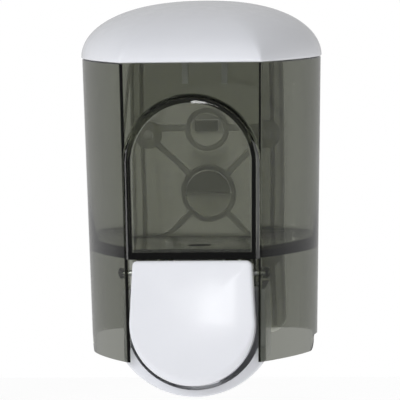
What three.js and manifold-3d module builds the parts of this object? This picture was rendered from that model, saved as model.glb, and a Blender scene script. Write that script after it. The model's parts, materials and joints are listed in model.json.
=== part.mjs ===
// Wall mounted push-lever soap dispenser: smoke-grey tank, white lid, lever and pump housing on a wall plate.
// Millimetres. X to the right, Y towards the wall, Z up. The origin is on the back plate's wall face.

import * as THREE from "three";
import { mergeVertices } from "three/addons/utils/BufferGeometryUtils.js";
import Module from "manifold-3d";

const wasm = await Module();
wasm.setup();

// ---------- driving dimensions ----------

const WALL = 2.5; // wall of the tank and lid mouldings
const GAP = 0.3; // assembly gap between neighbouring pieces

// tank, in plan at its rim
const FRONT_Y = -102; // plane of the two front corners
const FRONT_HALF = 36.2; // half width of the flat front
const WIDEST_HALF = 62.5;
const WIDEST_Y = -40;
const REAR_Y = -8;
const REAR_HALF = 43.5;
const KEY_Y = -1.5; // rear end of the two keys that plug into the back plate

// tank, heights
const RIM_Z = 56.4;
const FLOOR_TOP_Z = -40;
const FLOOR_Z = -43.6; // underside of the floor
const SKIRT_FRONT_Z = -97;
const SKIRT_REAR_Z = -89;
const SKIRT_STEP_Y = -46.5; // upright part of the rise between the two skirt heights
const SKIRT_LOWER_R = 6.5;
const SKIRT_UPPER_R = 1.5;
const DRAFT = 0.036 / 96.4; // share of its width that the body loses per mm below the rim

// raised arched window on the tank's front
const ARCH_HALF = 35.4;
const ARCH_FOOT_HALF = 34.8;
const ARCH_SPRING_Z = 5.5;
const ARCH_PROUD = 6;
const ARCH_SLOPE = 2.4; // how far its edge leans in over that height
const WINDOW_WALL = 1.5; // its face is thinner than the body's wall

// lid
const LID_HEIGHT = 28.7;
const LID_OVERHANG = 0.5;
const LID_LIP = 3;
const LID_LEG_X = 10.5;
const LID_LEG_Z = 41.7; // lower end of the two legs
const LID_LEG_Y = [-16.5, -12];

// push lever, in its own frame with the pivot at the origin and the face upright
const PIVOT_Y = -95.5;
const PIVOT_Z = -51.6;
const LEVER_TILT = 0.1157; // radians, the foot stands forward of the head
const LEVER_FACE_Y = -15.3;
const LEVER_TOP_Z = 5.9;
const LEVER_FOOT_Z = -58.1;
const LEVER_HEAD_HALF = 30.5;
const LEVER_HALF = 32.1;
const LEVER_WALL = 2.4;
const LEVER_BACK_Y = -1.5;
const ROD_R = 1.5;
const ROD_HOLE_R = 1.8;
const ROD_HALF = 36.6; // half its length
const ROD_BORE_HALF = 36.9; // the bores in the cheeks stop short of their outer faces
const ROD_BOSS_R = 2.8;

// outlet under the tank's floor
const OUTLET_Y = -65;
const OUTLET_R = 6.5;
const SPIGOT_R = 9.5;
const SPIGOT_Z = -50; // lower end of the spigot
const PUMP_BOSS_Z = -50.3; // lower end of the bosses for the pump's two screws
const PUMP_SCREW_X = 17;
const PUMP_PILOT_R = 1.6;

// pump body
const FLANGE_TOP_Z = PUMP_BOSS_Z - GAP;
const FLANGE_FOOT_Z = -53.6;
const FLANGE_R = 13;
const COLLAR_TOP_Z = -46.5; // the collar stands round the spigot
const NECK_R = 7.5;
const NECK_BORE_R = 5;
const VALVE_WEB_Z = [-62.6, -61]; // web with the inlet ports, between the neck's two bores
const BORE_Z = -80; // axis of the cylinder
const BORE_R = 8.2;
const CYLINDER_R = 10.2;
const CYLINDER_FRONT_Y = -84;
const CYLINDER_REAR_Y = -51.5;
const SPOUT_Y = -58;
const SPOUT_FOOT_Z = -103;
const SPOUT_R = 5.5;

// plunger and the lever's nose, which pushes it
const STEM_R = 4;
const HEAD_R = 7.5;
const HEAD_FACE_Y = -99.5;
const HEAD_REAR_Y = -97.5;
const BUSH_FRONT_Y = -86.3;
const NOSE_R = 4;
const NOSE_HALF = 6;

// lower housing
const HOUSING_FRONT_Y = -98.5;
const HOUSING_REAR_Y = -48;
const HOUSING_R = 44;
const HOUSING_ARC_Z = -71.5;
const HOUSING_HALF = 35.3;
const HOUSING_TOP_Z = -60;
const HOUSING_WALL = 2.2;
const WINDOW_R = 35.2;
const WINDOW_Z = -76.6;
const CRESCENT_TOP_Z = -90; // the crescent's two horns end here, inside the cheeks
const HOUSING_SCREWS = [[-27, -80], [27, -80], [-27, -54], [27, -54]];
const SCREW_BOSS_R = 4;
const SCREW_PILOT_R = 1.8;
const TAB_HALF = 5;

// back plate
const PLATE_HALF = 41;
const PLATE_TOP_Z = 58;
const PLATE_FOOT_Z = -92;
const PLATE_FRONT_Y = -6.4;
const WEB_FRONT_Y = -4.4;
const WEB_REAR_Y = -2.2;
const BOSS_X = 31.8;
const BOSS_UP_Z = 14.1;
const BOSS_LOW_Z = -49.9;
const BOSS_R = 7.5;
const SCREW_HOLE_R = 2.4; // drilled from the wall side, up to a thin knock-out skin
const KNOCK_OUT = 1;
const PLATE_RIM = 2.2;
const CROSS_RIB_Z = 17.7;
const SIDE_RIB_X = 34.8;
const SLOT_HALF_X = 6.3;
const SLOT_HALF_Z = 3.1;
const SLOT_Z = 19;
const SLOT_RING_Z = 16.7;
const SLOT_RING_R = [9.1, 11.8];
const HOLE_Z = -18;
const HOLE_R = 12.3;
const HOLE_RING = 2.5;
const POCKET_FLOOR = 1.2; // closes the slot and the half-moon towards the wall

// ---------- materials ----------

const finish = (color, roughness, metalness = 0) =>
  new THREE.MeshStandardMaterial({ color, roughness, metalness });

const SMOKE = () => {
  const material = finish(0x6f746b, 0.08);
  material.transparent = true;
  material.opacity = 0.5;
  return material;
};
const WHITE = () => finish(0xe8e9ec, 0.22);
const NATURAL = () => finish(0xd9d8d2, 0.4);
const STEEL = () => finish(0xb4b6b8, 0.28, 1);
const RUBBER = () => finish(0x26262a, 0.75);
const SILICONE = () => finish(0xdde0de, 0.55);

// ---------- solids ----------

// A closed geometry as a solid that can be joined and cut.
function solid(geometry) {
  const bare = new THREE.BufferGeometry();
  const source = geometry.index ? geometry.toNonIndexed() : geometry;
  bare.setAttribute("position", source.getAttribute("position"));
  const merged = mergeVertices(bare, 1e-4);
  const index = merged.index.array;
  const faces = [];
  for (let i = 0; i < index.length; i += 3) {
    const [a, b, c] = index.slice(i, i + 3);
    if (a !== b && b !== c && c !== a) faces.push(a, b, c);
  }
  return new wasm.Manifold(
    new wasm.Mesh({
      numProp: 3,
      vertProperties: merged.attributes.position.array,
      triVerts: new Uint32Array(faces),
    }),
  );
}

function join(first, ...others) {
  return others.reduce((whole, next) => whole.add(next), first);
}

function cut(first, ...others) {
  return others.reduce((whole, next) => whole.subtract(next), first);
}

const root = new THREE.Group();

// Adds a named piece to the scene graph and returns its mesh.
function piece(name, shape, material, parent = root) {
  const made = shape.getMesh();
  const geometry = new THREE.BufferGeometry();
  geometry.setAttribute("position", new THREE.BufferAttribute(made.vertProperties, 3));
  geometry.setIndex(new THREE.BufferAttribute(made.triVerts, 1));
  geometry.computeVertexNormals();
  const mesh = new THREE.Mesh(geometry, material);
  mesh.name = name;
  parent.add(mesh);
  return mesh;
}

function box(x0, x1, y0, y1, z0, z1) {
  const geometry = new THREE.BoxGeometry(x1 - x0, y1 - y0, z1 - z0);
  geometry.translate((x0 + x1) / 2, (y0 + y1) / 2, (z0 + z1) / 2);
  return solid(geometry);
}

// A round bar along one axis, from low to high, centred on the other two coordinates in X, Y, Z order.
function bar(axis, radius, low, high, [u, v], sides = 24) {
  const geometry = new THREE.CylinderGeometry(radius, radius, high - low, sides);
  const middle = (low + high) / 2;
  if (axis === "x") {
    geometry.rotateZ(-Math.PI / 2);
    geometry.translate(middle, u, v);
  } else if (axis === "y") {
    geometry.translate(u, middle, v);
  } else {
    geometry.rotateX(Math.PI / 2);
    geometry.translate(u, v, middle);
  }
  return solid(geometry);
}

// A turned piece about a vertical axis through (x, y); the profile is [radius, z] pairs.
function turned(profile, x, y, sides = 24) {
  const points = profile.map(([r, z]) => new THREE.Vector2(r, z));
  const geometry = new THREE.LatheGeometry(points, sides);
  geometry.rotateX(Math.PI / 2);
  geometry.translate(x, y, 0);
  return solid(geometry);
}

// A turned piece about the pump's cylinder axis; the profile is [radius, y] pairs.
function turnedAlongBore(profile, sides = 24) {
  const points = profile.map(([r, y]) => new THREE.Vector2(r, y));
  const geometry = new THREE.LatheGeometry(points, sides);
  geometry.translate(0, 0, BORE_Z);
  return solid(geometry);
}

// A front outline in X and Z, extruded through the depth from y0 to y1.
function throughDepth(shape, y0, y1, curveSegments = 12) {
  const geometry = new THREE.ExtrudeGeometry(shape, {
    depth: y1 - y0,
    bevelEnabled: false,
    curveSegments,
  });
  geometry.rotateX(Math.PI / 2);
  geometry.translate(0, y1, 0);
  return solid(geometry);
}

// A side outline in Y and Z, extruded across the width from x0 to x1.
function acrossWidth(shape, x0, x1, curveSegments = 8) {
  const geometry = new THREE.ExtrudeGeometry(shape, {
    depth: x1 - x0,
    bevelEnabled: false,
    curveSegments,
  });
  geometry.rotateY(Math.PI / 2);
  geometry.rotateX(Math.PI / 2);
  geometry.translate(x0, 0, 0);
  return solid(geometry);
}

// ---------- plan outline of the body ----------

// Half the body in plan is a flat front, a creased corner, a bulging side and a rounded rear corner.
function bodyOutline() {
  const shape = new THREE.Shape();
  shape.moveTo(-FRONT_HALF, FRONT_Y);
  shape.lineTo(FRONT_HALF, FRONT_Y);
  shape.bezierCurveTo(44, -92, 60.5, -64, WIDEST_HALF, WIDEST_Y);
  shape.bezierCurveTo(63.8, -24, 58, REAR_Y, REAR_HALF, REAR_Y);
  shape.lineTo(-REAR_HALF, REAR_Y);
  shape.bezierCurveTo(-58, REAR_Y, -63.8, -24, -WIDEST_HALF, WIDEST_Y);
  shape.bezierCurveTo(-60.5, -64, -44, -92, -FRONT_HALF, FRONT_Y);
  const points = shape.getPoints(7);
  points.pop();
  return points;
}

// Moves a closed anticlockwise outline inwards by a distance, with mitred corners.
function inset(points, distance) {
  return points.map((point, i) => {
    const before = point.clone().sub(points.at(i - 1)).normalize();
    const after = points[(i + 1) % points.length].clone().sub(point).normalize();
    const inward = new THREE.Vector2(-before.y - after.y, before.x + after.x).normalize();
    const across = inward.dot(new THREE.Vector2(-before.y, before.x));
    return point.clone().addScaledVector(inward, distance / across);
  });
}

const OUTER = bodyOutline();
const INNER = inset(OUTER, WALL);

// The body's plan outline between two heights, narrower by its draft the lower it is.
function drafted(outline, z0, z1) {
  const geometry = new THREE.ExtrudeGeometry(new THREE.Shape(outline), {
    depth: z1 - z0,
    bevelEnabled: false,
  });
  geometry.translate(0, 0, z0);
  const position = geometry.getAttribute("position");
  for (let i = 0; i < position.count; i++) {
    const width = 1 - DRAFT * (RIM_Z - position.getZ(i));
    position.setX(i, position.getX(i) * width);
  }
  return solid(geometry);
}

// ---------- tank ----------

// The arched window: a block with a round top and a sloping edge, `smaller` mm inside the outer one.
function archBlock(smaller, frontY, backY, footZ) {
  const half = ARCH_HALF - smaller;
  const foot = ARCH_FOOT_HALF - smaller;
  const shape = new THREE.Shape();
  shape.moveTo(-foot, footZ);
  shape.lineTo(foot, footZ);
  shape.lineTo(half, ARCH_SPRING_Z);
  shape.absarc(0, ARCH_SPRING_Z, half, 0, Math.PI, false);
  shape.closePath();
  const geometry = new THREE.ExtrudeGeometry(shape, {
    depth: backY - frontY,
    bevelEnabled: false,
    curveSegments: 14,
  });
  geometry.rotateX(Math.PI / 2);
  geometry.translate(0, backY, 0);
  // The front edge leans in towards the window's middle.
  const position = geometry.getAttribute("position");
  for (let i = 0; i < position.count; i++) {
    if (position.getY(i) > frontY + 1e-6) continue;
    const z = position.getZ(i);
    const above = Math.max(0, z - ARCH_SPRING_Z);
    const reach = Math.hypot(position.getX(i), above);
    const lean = 1 - ARCH_SLOPE / reach;
    position.setX(i, position.getX(i) * lean);
    position.setZ(i, z > ARCH_SPRING_Z ? ARCH_SPRING_Z + above * lean : z);
  }
  return solid(geometry);
}

// Everything under the skirt's lower edge, which is lower at the front than at the rear.
function belowSkirt() {
  const side = new THREE.Shape();
  side.moveTo(FRONT_Y - 20, SKIRT_FRONT_Z - 20);
  side.lineTo(0, SKIRT_FRONT_Z - 20);
  side.lineTo(0, SKIRT_REAR_Z);
  const [low, high] = [SKIRT_LOWER_R, SKIRT_UPPER_R];
  side.lineTo(SKIRT_STEP_Y + high, SKIRT_REAR_Z);
  side.absarc(SKIRT_STEP_Y + high, SKIRT_REAR_Z - high, high, Math.PI / 2, Math.PI, false);
  side.absarc(SKIRT_STEP_Y - low, SKIRT_FRONT_Z + low, low, 0, -Math.PI / 2, true);
  side.lineTo(FRONT_Y - 20, SKIRT_FRONT_Z);
  side.closePath();
  return acrossWidth(side, -80, 80);
}

function tank() {
  const frontY = FRONT_Y - ARCH_PROUD;
  let shell = join(
    drafted(OUTER, SKIRT_FRONT_Z - 3, RIM_Z),
    archBlock(0, frontY, FRONT_Y + 1, FLOOR_Z),
  );
  // The reservoir and the space under the floor.
  shell = cut(
    shell,
    drafted(INNER, FLOOR_TOP_Z, RIM_Z + 5),
    archBlock(WALL, frontY + WINDOW_WALL, FRONT_Y + WALL + 1, FLOOR_TOP_Z),
    drafted(INNER, SKIRT_FRONT_Z - 5, FLOOR_Z),
    belowSkirt(),
  );
  // The lever's opening between the cheeks.
  const opening = LEVER_HALF + 0.8;
  shell = cut(shell, box(-opening, opening, FRONT_Y - 10, FRONT_Y + 5, SKIRT_FRONT_Z - 5, FLOOR_Z));

  // Outlet spigot, bosses for the screws and for the hinge rod, and the keys that plug into the plate.
  const cheek = drafted(inset(OUTER, 1), SKIRT_FRONT_Z, FLOOR_Z - 1);
  const bosses = [bar("z", SPIGOT_R, SPIGOT_Z, FLOOR_Z + 1, [0, OUTLET_Y], 32)];
  for (const side of [-1, 1]) {
    const pumpBossR = 3.6;
    bosses.push(bar("z", pumpBossR, PUMP_BOSS_Z, FLOOR_Z + 1, [side * PUMP_SCREW_X, OUTLET_Y], 16));
    const [low, high] = [side * (opening + 1.5), side * 45].sort((a, b) => a - b);
    bosses.push(bar("x", ROD_BOSS_R, low, high, [PIVOT_Y, PIVOT_Z]).intersect(cheek));
  }
  for (const [x, y] of HOUSING_SCREWS) {
    bosses.push(bar("z", SCREW_BOSS_R, HOUSING_TOP_Z + GAP, FLOOR_Z + 1, [x, y], 16));
  }
  const [keyX, keyZ] = [SLOT_HALF_X - GAP, SLOT_HALF_Z - GAP];
  const keys = [
    box(-keyX, keyX, REAR_Y - 1, KEY_Y, SLOT_Z - keyZ, SLOT_Z + keyZ),
    halfDisc(HOLE_R - 0.4, REAR_Y - 1, KEY_Y),
  ];
  shell = join(shell, ...bosses, ...keys);

  const drills = [
    bar("z", OUTLET_R, SPIGOT_Z - 1, FLOOR_TOP_Z + 1, [0, OUTLET_Y], 32),
    bar("x", ROD_HOLE_R, -ROD_BORE_HALF, ROD_BORE_HALF, [PIVOT_Y, PIVOT_Z]),
  ];
  for (const x of [-PUMP_SCREW_X, PUMP_SCREW_X]) {
    drills.push(bar("z", PUMP_PILOT_R, PUMP_BOSS_Z - 1, FLOOR_Z - 1, [x, OUTLET_Y], 12));
  }
  for (const [x, y] of HOUSING_SCREWS) {
    drills.push(bar("z", SCREW_PILOT_R, HOUSING_TOP_Z - 1, FLOOR_Z - 4, [x, y], 12));
  }
  return cut(shell, ...drills);
}

// The upper half of a disc that faces the wall, about the middle of the plate's round hole.
function halfDisc(radius, y0, y1) {
  const shape = new THREE.Shape();
  shape.moveTo(radius * Math.cos(0.04), HOLE_Z + radius * Math.sin(0.04));
  shape.absarc(0, HOLE_Z, radius, 0.04, Math.PI - 0.04, false);
  shape.closePath();
  return throughDepth(shape, y0, y1, 14);
}

piece("tank", tank(), SMOKE());

// ---------- lid ----------

// A dome over an outline: each level is the outline drawn in towards the middle of its rear edge.
function dome(outline, z0, height) {
  const levels = 9;
  const reach = 0.97; // of a right angle, so that the crown keeps a small flat
  const rearY = Math.max(...outline.map((point) => point.y));
  const geometry = new THREE.ExtrudeGeometry(new THREE.Shape(outline), {
    depth: 1,
    steps: levels,
    bevelEnabled: false,
  });
  const position = geometry.getAttribute("position");
  for (let i = 0; i < position.count; i++) {
    const angle = position.getZ(i) * reach * (Math.PI / 2);
    const shrink = Math.cos(angle) ** 0.8;
    position.setX(i, position.getX(i) * shrink);
    position.setY(i, rearY + (position.getY(i) - rearY) * shrink);
    position.setZ(i, z0 + height * Math.sin(angle));
  }
  return solid(geometry);
}

function lid() {
  const rimZ = RIM_Z + GAP;
  const outside = inset(OUTER, -LID_OVERHANG);
  const inside = inset(outside, WALL);
  const lipOutline = inset(OUTER, WALL + 0.5);
  const lipInside = inset(OUTER, WALL + 2.3);
  const lip = cut(drafted(lipOutline, RIM_Z - LID_LIP, rimZ + 3), drafted(lipInside, RIM_Z - 9, rimZ + 4));
  const shell = cut(dome(outside, rimZ, LID_HEIGHT), dome(inside, rimZ - 0.1, LID_HEIGHT - WALL + 0.1));
  // A ledge joins the lip to the dome just above the tank's rim.
  const ledge = cut(drafted(inset(outside, 1), rimZ, rimZ + 1.6), drafted(lipInside, rimZ - 1, rimZ + 3));
  const legs = [-LID_LEG_X, LID_LEG_X].map((x) =>
    box(x - 1.5, x + 1.5, ...LID_LEG_Y, LID_LEG_Z, rimZ + LID_HEIGHT - 4),
  );
  return join(shell.add(lip).add(ledge), ...legs);
}

piece("lid", lid(), WHITE());

// ---------- push lever ----------

// The lever's face: straight head with small rounded corners, sides, and a round foot.
function leverOutline(smaller, topZ) {
  const corner = 3.5 - Math.min(smaller, 2);
  const head = LEVER_HEAD_HALF - smaller;
  const half = LEVER_HALF - smaller;
  const centreZ = LEVER_FOOT_Z + LEVER_HALF;
  const shape = new THREE.Shape();
  shape.absarc(head - corner, topZ - corner, corner, 0, Math.PI / 2, false);
  shape.absarc(-head + corner, topZ - corner, corner, Math.PI / 2, Math.PI, false);
  shape.absarc(0, centreZ, half, Math.PI, 2 * Math.PI, false);
  shape.closePath();
  return shape;
}

function lever() {
  const round = 2.4; // rounding of the face's edge
  const depth = 20; // longer than the lever is deep, its back is cut off square
  const outside = new THREE.ExtrudeGeometry(leverOutline(0, LEVER_TOP_Z), {
    depth,
    bevelThickness: round,
    bevelSize: round,
    bevelOffset: -round,
    bevelSegments: 2,
    curveSegments: 14,
  });
  outside.rotateX(Math.PI / 2);
  outside.translate(0, LEVER_FACE_Y + round + depth, 0);
  let shell = cut(solid(outside), box(-50, 50, LEVER_BACK_Y, 50, -90, 30));
  const hollow = leverOutline(LEVER_WALL, LEVER_TOP_Z - LEVER_WALL);
  shell = cut(shell, throughDepth(hollow, LEVER_FACE_Y + LEVER_WALL, 10, 12));

  // Two ears carry the hinge rod.
  const earR = 4.6;
  const ears = [-1, 1].map((side) => {
    const faces = [side * (LEVER_HEAD_HALF - LEVER_WALL), side * LEVER_HEAD_HALF];
    const [low, high] = faces.sort((a, b) => a - b);
    return bar("x", earR, low, high, [0, 0], 20).add(box(low, high, LEVER_BACK_Y - 3, 0, -earR, earR));
  });
  // A rounded nose pushes the plunger. It stands upright when the lever's tilt is undone.
  const noseY = HEAD_FACE_Y - GAP - NOSE_R - PIVOT_Y;
  const noseZ = BORE_Z - PIVOT_Z;
  const { x: y, y: z } = new THREE.Vector2(noseY, noseZ).rotateAround(new THREE.Vector2(), LEVER_TILT);
  const insideY = LEVER_FACE_Y + LEVER_WALL - 0.5;
  const nose = join(
    bar("x", NOSE_R, -NOSE_HALF, NOSE_HALF, [y, z], 20),
    box(-NOSE_HALF, NOSE_HALF, insideY, y, z - NOSE_R, z + NOSE_R),
    box(-1, 1, insideY, y - 1, z - 12, LEVER_TOP_Z - 1),
  );
  return cut(join(shell, ...ears, nose), bar("x", ROD_HOLE_R, -50, 50, [0, 0]));
}

const hinge = new THREE.Group();
hinge.position.set(0, PIVOT_Y, PIVOT_Z);
root.add(hinge);
const tilt = new THREE.Group();
tilt.rotation.x = -LEVER_TILT;
hinge.add(tilt);
piece("push_lever", lever(), WHITE(), tilt);
piece("hinge_rod", bar("x", ROD_R, -ROD_HALF, ROD_HALF, [0, 0]), STEEL(), hinge);

// ---------- lower housing ----------

function housingOutline(smaller, topZ) {
  const half = HOUSING_HALF - smaller;
  const radius = HOUSING_R - smaller;
  const angle = Math.acos(half / radius);
  const shape = new THREE.Shape();
  shape.moveTo(half, topZ);
  shape.lineTo(-half, topZ);
  shape.absarc(0, HOUSING_ARC_Z, radius, Math.PI + angle, 2 * Math.PI - angle, false);
  shape.closePath();
  return shape;
}

function lowerHousing() {
  const solidHousing = throughDepth(housingOutline(0, HOUSING_TOP_Z), HOUSING_FRONT_Y, HOUSING_REAR_Y, 24);
  const hollow = throughDepth(
    housingOutline(HOUSING_WALL, HOUSING_TOP_Z + 5),
    HOUSING_FRONT_Y + HOUSING_WALL,
    HOUSING_REAR_Y - HOUSING_WALL,
    24,
  );
  // The U-shaped window that the lever swings into.
  const window = new THREE.Shape();
  window.moveTo(-WINDOW_R, HOUSING_TOP_Z + 5);
  window.lineTo(-WINDOW_R, WINDOW_Z);
  window.absarc(0, WINDOW_Z, WINDOW_R, Math.PI, 2 * Math.PI, false);
  window.lineTo(WINDOW_R, HOUSING_TOP_Z + 5);
  window.closePath();
  let shell = cut(
    solidHousing,
    hollow,
    throughDepth(window, HOUSING_FRONT_Y - 5, HOUSING_FRONT_Y + HOUSING_WALL + 1, 24),
    box(-40, 40, HOUSING_FRONT_Y - 5, HOUSING_FRONT_Y + HOUSING_WALL + 1, CRESCENT_TOP_Z, HOUSING_TOP_Z + 5),
    bar("z", 9.5, -130, -100, [0, OUTLET_Y + 7], 28),
  );
  // Four tabs take the screws.
  for (const [x, y] of HOUSING_SCREWS) {
    const side = Math.sign(x);
    const [low, high] = [x - side * TAB_HALF, side * (HOUSING_HALF - 1)].sort((a, b) => a - b);
    const reachesRear = y + 2 * TAB_HALF > HOUSING_REAR_Y;
    const rearward = reachesRear ? HOUSING_REAR_Y - 1 : y + TAB_HALF;
    const tab = box(low, high, y - TAB_HALF, rearward, HOUSING_TOP_Z - HOUSING_WALL, HOUSING_TOP_Z);
    shell = cut(join(shell, tab), bar("z", SCREW_PILOT_R + 0.1, -70, HOUSING_TOP_Z + 5, [x, y], 12));
  }
  // Above the cheeks' lower edge it stays inside the skirt, and below that edge it is free.
  const room = join(
    drafted(inset(OUTER, WALL + 0.4), SKIRT_FRONT_Z - GAP, FLOOR_Z),
    box(-60, 60, HOUSING_FRONT_Y - 1, 0, -130, SKIRT_FRONT_Z - GAP),
  );
  return shell.intersect(room);
}

piece("lower_housing", lowerHousing(), WHITE());

// ---------- pump ----------

// Flange and collar under the spigot, neck with the inlet web, cylinder with its spout, all in one moulding.
function pumpBody() {
  const [webFootZ, webTopZ] = VALVE_WEB_Z;
  const outlet = [0, OUTLET_Y];
  const collarR = FLANGE_R - 0.6;
  const wingX = PUMP_SCREW_X + 4;
  const wingY = 4.5;
  const body = join(
    bar("z", FLANGE_R, FLANGE_FOOT_Z, FLANGE_TOP_Z, outlet, 32),
    box(-wingX, wingX, OUTLET_Y - wingY, OUTLET_Y + wingY, FLANGE_FOOT_Z, FLANGE_TOP_Z),
    bar("z", collarR, FLANGE_TOP_Z - 1, COLLAR_TOP_Z, outlet, 32),
    bar("z", NECK_R, BORE_Z + 6, FLANGE_FOOT_Z + 0.6, outlet, 28),
    bar("y", CYLINDER_R, CYLINDER_FRONT_Y, CYLINDER_REAR_Y, [0, BORE_Z], 32),
    bar("z", SPOUT_R, SPOUT_FOOT_Z, BORE_Z - 4, [0, SPOUT_Y], 24),
  );
  const sockets = [
    bar("z", SPIGOT_R + 0.5, FLANGE_FOOT_Z + 0.7, COLLAR_TOP_Z + 1, outlet, 32),
    bar("z", NECK_BORE_R, webTopZ, FLANGE_FOOT_Z + 1, outlet, 24),
    bar("z", NECK_BORE_R, BORE_Z + 4, webFootZ, outlet, 24),
    bar("z", 1.1, webFootZ - 1, webTopZ + 1, outlet, 12),
    bar("y", BORE_R, CYLINDER_FRONT_Y - 1, CYLINDER_REAR_Y - 2.5, [0, BORE_Z], 32),
    bar("z", SPOUT_R - 2.3, SPOUT_FOOT_Z - 1, BORE_Z - 4, [0, SPOUT_Y], 20),
  ];
  // Six inlet ports round the umbrella valve's stalk.
  for (let i = 0; i < 6; i++) {
    const angle = (i * Math.PI) / 3;
    const port = [3 * Math.cos(angle), OUTLET_Y + 3 * Math.sin(angle)];
    sockets.push(bar("z", 0.8, webFootZ - 1, webTopZ + 1, port, 8));
  }
  for (const x of [-PUMP_SCREW_X, PUMP_SCREW_X]) {
    sockets.push(bar("z", PUMP_PILOT_R + 0.2, FLANGE_FOOT_Z - 1, FLANGE_TOP_Z + 1, [x, OUTLET_Y], 12));
  }
  return cut(body, ...sockets);
}

piece("pump_body", pumpBody(), NATURAL());

// Flat ring between the spigot's end and the bottom of the flange's socket.
const gasket = [[6.8, -52.6], [9.4, -52.6], [9.4, SPIGOT_Z - GAP], [6.8, SPIGOT_Z - GAP], [6.8, -52.6]];
piece("outlet_gasket", turned(gasket, 0, OUTLET_Y, 28), RUBBER());

// Silicone umbrella that hangs under the web in the neck, with its bulb above.
const umbrella = [
  [0, -65],
  [2.5, -64.7],
  [4.3, -63.6],
  [4.3, -63],
  [0.8, -62.9],
  [0.8, -60.7],
  [1.7, -60.6],
  [1.2, -58.6],
  [0, -58.2],
];
piece("inlet_valve", turned(umbrella, 0, OUTLET_Y, 20), SILICONE());

// Piston, stem and head in one moulding, with a groove for the seal.
const plunger = turnedAlongBore([
  [0, HEAD_FACE_Y],
  [HEAD_R, HEAD_FACE_Y],
  [HEAD_R, HEAD_REAR_Y],
  [STEM_R, HEAD_REAR_Y],
  [STEM_R, -77],
  [7.6, -77],
  [7.6, -75.4],
  [6, -75.4],
  [6, -73.2],
  [7.6, -73.2],
  [7.6, -71.5],
  [0, -71.5],
]);
piece("plunger", plunger, NATURAL());

const seal = [[6.3, -75.1], [7.4, -75.1], [7.95, -74.3], [7.4, -73.5], [6.3, -73.5], [6.3, -75.1]];
piece("piston_seal", turnedAlongBore(seal, 28), RUBBER());

// Bush in the cylinder's mouth, which guides the stem and stops the piston.
const bush = turnedAlongBore([
  [STEM_R + GAP, BUSH_FRONT_Y],
  [CYLINDER_R, BUSH_FRONT_Y],
  [CYLINDER_R, CYLINDER_FRONT_Y - GAP],
  [BORE_R - GAP, CYLINDER_FRONT_Y - GAP],
  [BORE_R - GAP, -80.5],
  [STEM_R + GAP, -80.5],
  [STEM_R + GAP, BUSH_FRONT_Y],
]);
piece("cylinder_bush", bush, NATURAL());

// Compression spring between the bush and the plunger's head.
class Helix extends THREE.Curve {
  constructor(radius, turns, y0, y1) {
    super();
    Object.assign(this, { radius, turns, y0, y1 });
  }

  getPoint(t, target = new THREE.Vector3()) {
    const angle = 2 * Math.PI * this.turns * t;
    return target.set(
      this.radius * Math.cos(angle),
      this.y0 + (this.y1 - this.y0) * t,
      this.radius * Math.sin(angle),
    );
  }
}

function returnSpring() {
  const wireR = 0.45;
  const turns = 4;
  const section = new THREE.Shape();
  section.absarc(0, 0, wireR, 0, 2 * Math.PI, false);
  const geometry = new THREE.ExtrudeGeometry(section, {
    steps: turns * 12,
    curveSegments: 3,
    extrudePath: new Helix(5.6, turns, HEAD_REAR_Y + GAP + wireR, BUSH_FRONT_Y - GAP - wireR),
  });
  geometry.translate(0, 0, BORE_Z);
  return solid(geometry);
}

piece("return_spring", returnSpring(), STEEL());

// Duckbill: a flange under the spout and a bill that narrows downwards, open from above.
const duckbill = [
  [2.6, SPOUT_FOOT_Z - GAP],
  [2.6, -105],
  [0.5, -110],
  [1.2, -110],
  [3.6, -104.8],
  [5.4, -104.5],
  [5.4, SPOUT_FOOT_Z - GAP],
  [2.6, SPOUT_FOOT_Z - GAP],
];
piece("outlet_valve", turned(duckbill, 0, SPOUT_Y, 20), SILICONE());

// Cap round the spout's end, with a cone that aims the soap downwards.
const cap = [
  [5.9, -97],
  [5.9, -104.8],
  [4.4, -104.9],
  [3.6, -113],
  [5.4, -113],
  [7.6, -105.5],
  [7.6, -97],
  [5.9, -97],
];
piece("nozzle", turned(cap, 0, SPOUT_Y, 24), WHITE());

// ---------- screws ----------

// Pan head screw, head down, with a crossed recess; its origin is under the head.
function panScrew(headR, headHeight, shankR, length) {
  const body = turned(
    [
      [0, -headHeight],
      [headR * 0.7, -headHeight],
      [headR, -headHeight * 0.5],
      [headR, 0],
      [shankR, 0],
      [shankR, length - 1],
      [shankR * 0.4, length],
      [0, length],
    ],
    0,
    0,
    16,
  );
  const arm = headR * 0.55;
  return cut(
    body,
    box(-arm, arm, -0.4, 0.4, -headHeight - 1, -headHeight * 0.45),
    box(-0.4, 0.4, -arm, arm, -headHeight - 1, -headHeight * 0.45),
  );
}

for (const [name, x] of [["pump_screw_left", -PUMP_SCREW_X], ["pump_screw_right", PUMP_SCREW_X]]) {
  const screw = piece(name, panScrew(3, 1.8, 1.3, 8), STEEL());
  screw.position.set(x, OUTLET_Y, FLANGE_FOOT_Z - GAP);
}

HOUSING_SCREWS.forEach(([x, y], i) => {
  const screw = piece(`housing_screw_${i + 1}`, panScrew(3.4, 2, 1.5, 11), STEEL());
  screw.position.set(x, y, HOUSING_TOP_Z - HOUSING_WALL - GAP);
});

// ---------- back plate ----------

function roundedPlate(smaller, y0, y1) {
  const half = PLATE_HALF - smaller;
  const top = PLATE_TOP_Z - smaller;
  const foot = PLATE_FOOT_Z + smaller;
  const corner = 9 - smaller;
  const shape = new THREE.Shape();
  shape.moveTo(-half + corner, foot);
  shape.lineTo(half - corner, foot);
  shape.absarc(half - corner, foot + corner, corner, -Math.PI / 2, 0, false);
  shape.lineTo(half, top - corner);
  shape.absarc(half - corner, top - corner, corner, 0, Math.PI / 2, false);
  shape.lineTo(-half + corner, top);
  shape.absarc(-half + corner, top - corner, corner, Math.PI / 2, Math.PI, false);
  shape.lineTo(-half, foot + corner);
  shape.absarc(-half + corner, foot + corner, corner, Math.PI, Math.PI * 1.5, false);
  shape.closePath();
  return throughDepth(shape, y0, y1, 5);
}

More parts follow.
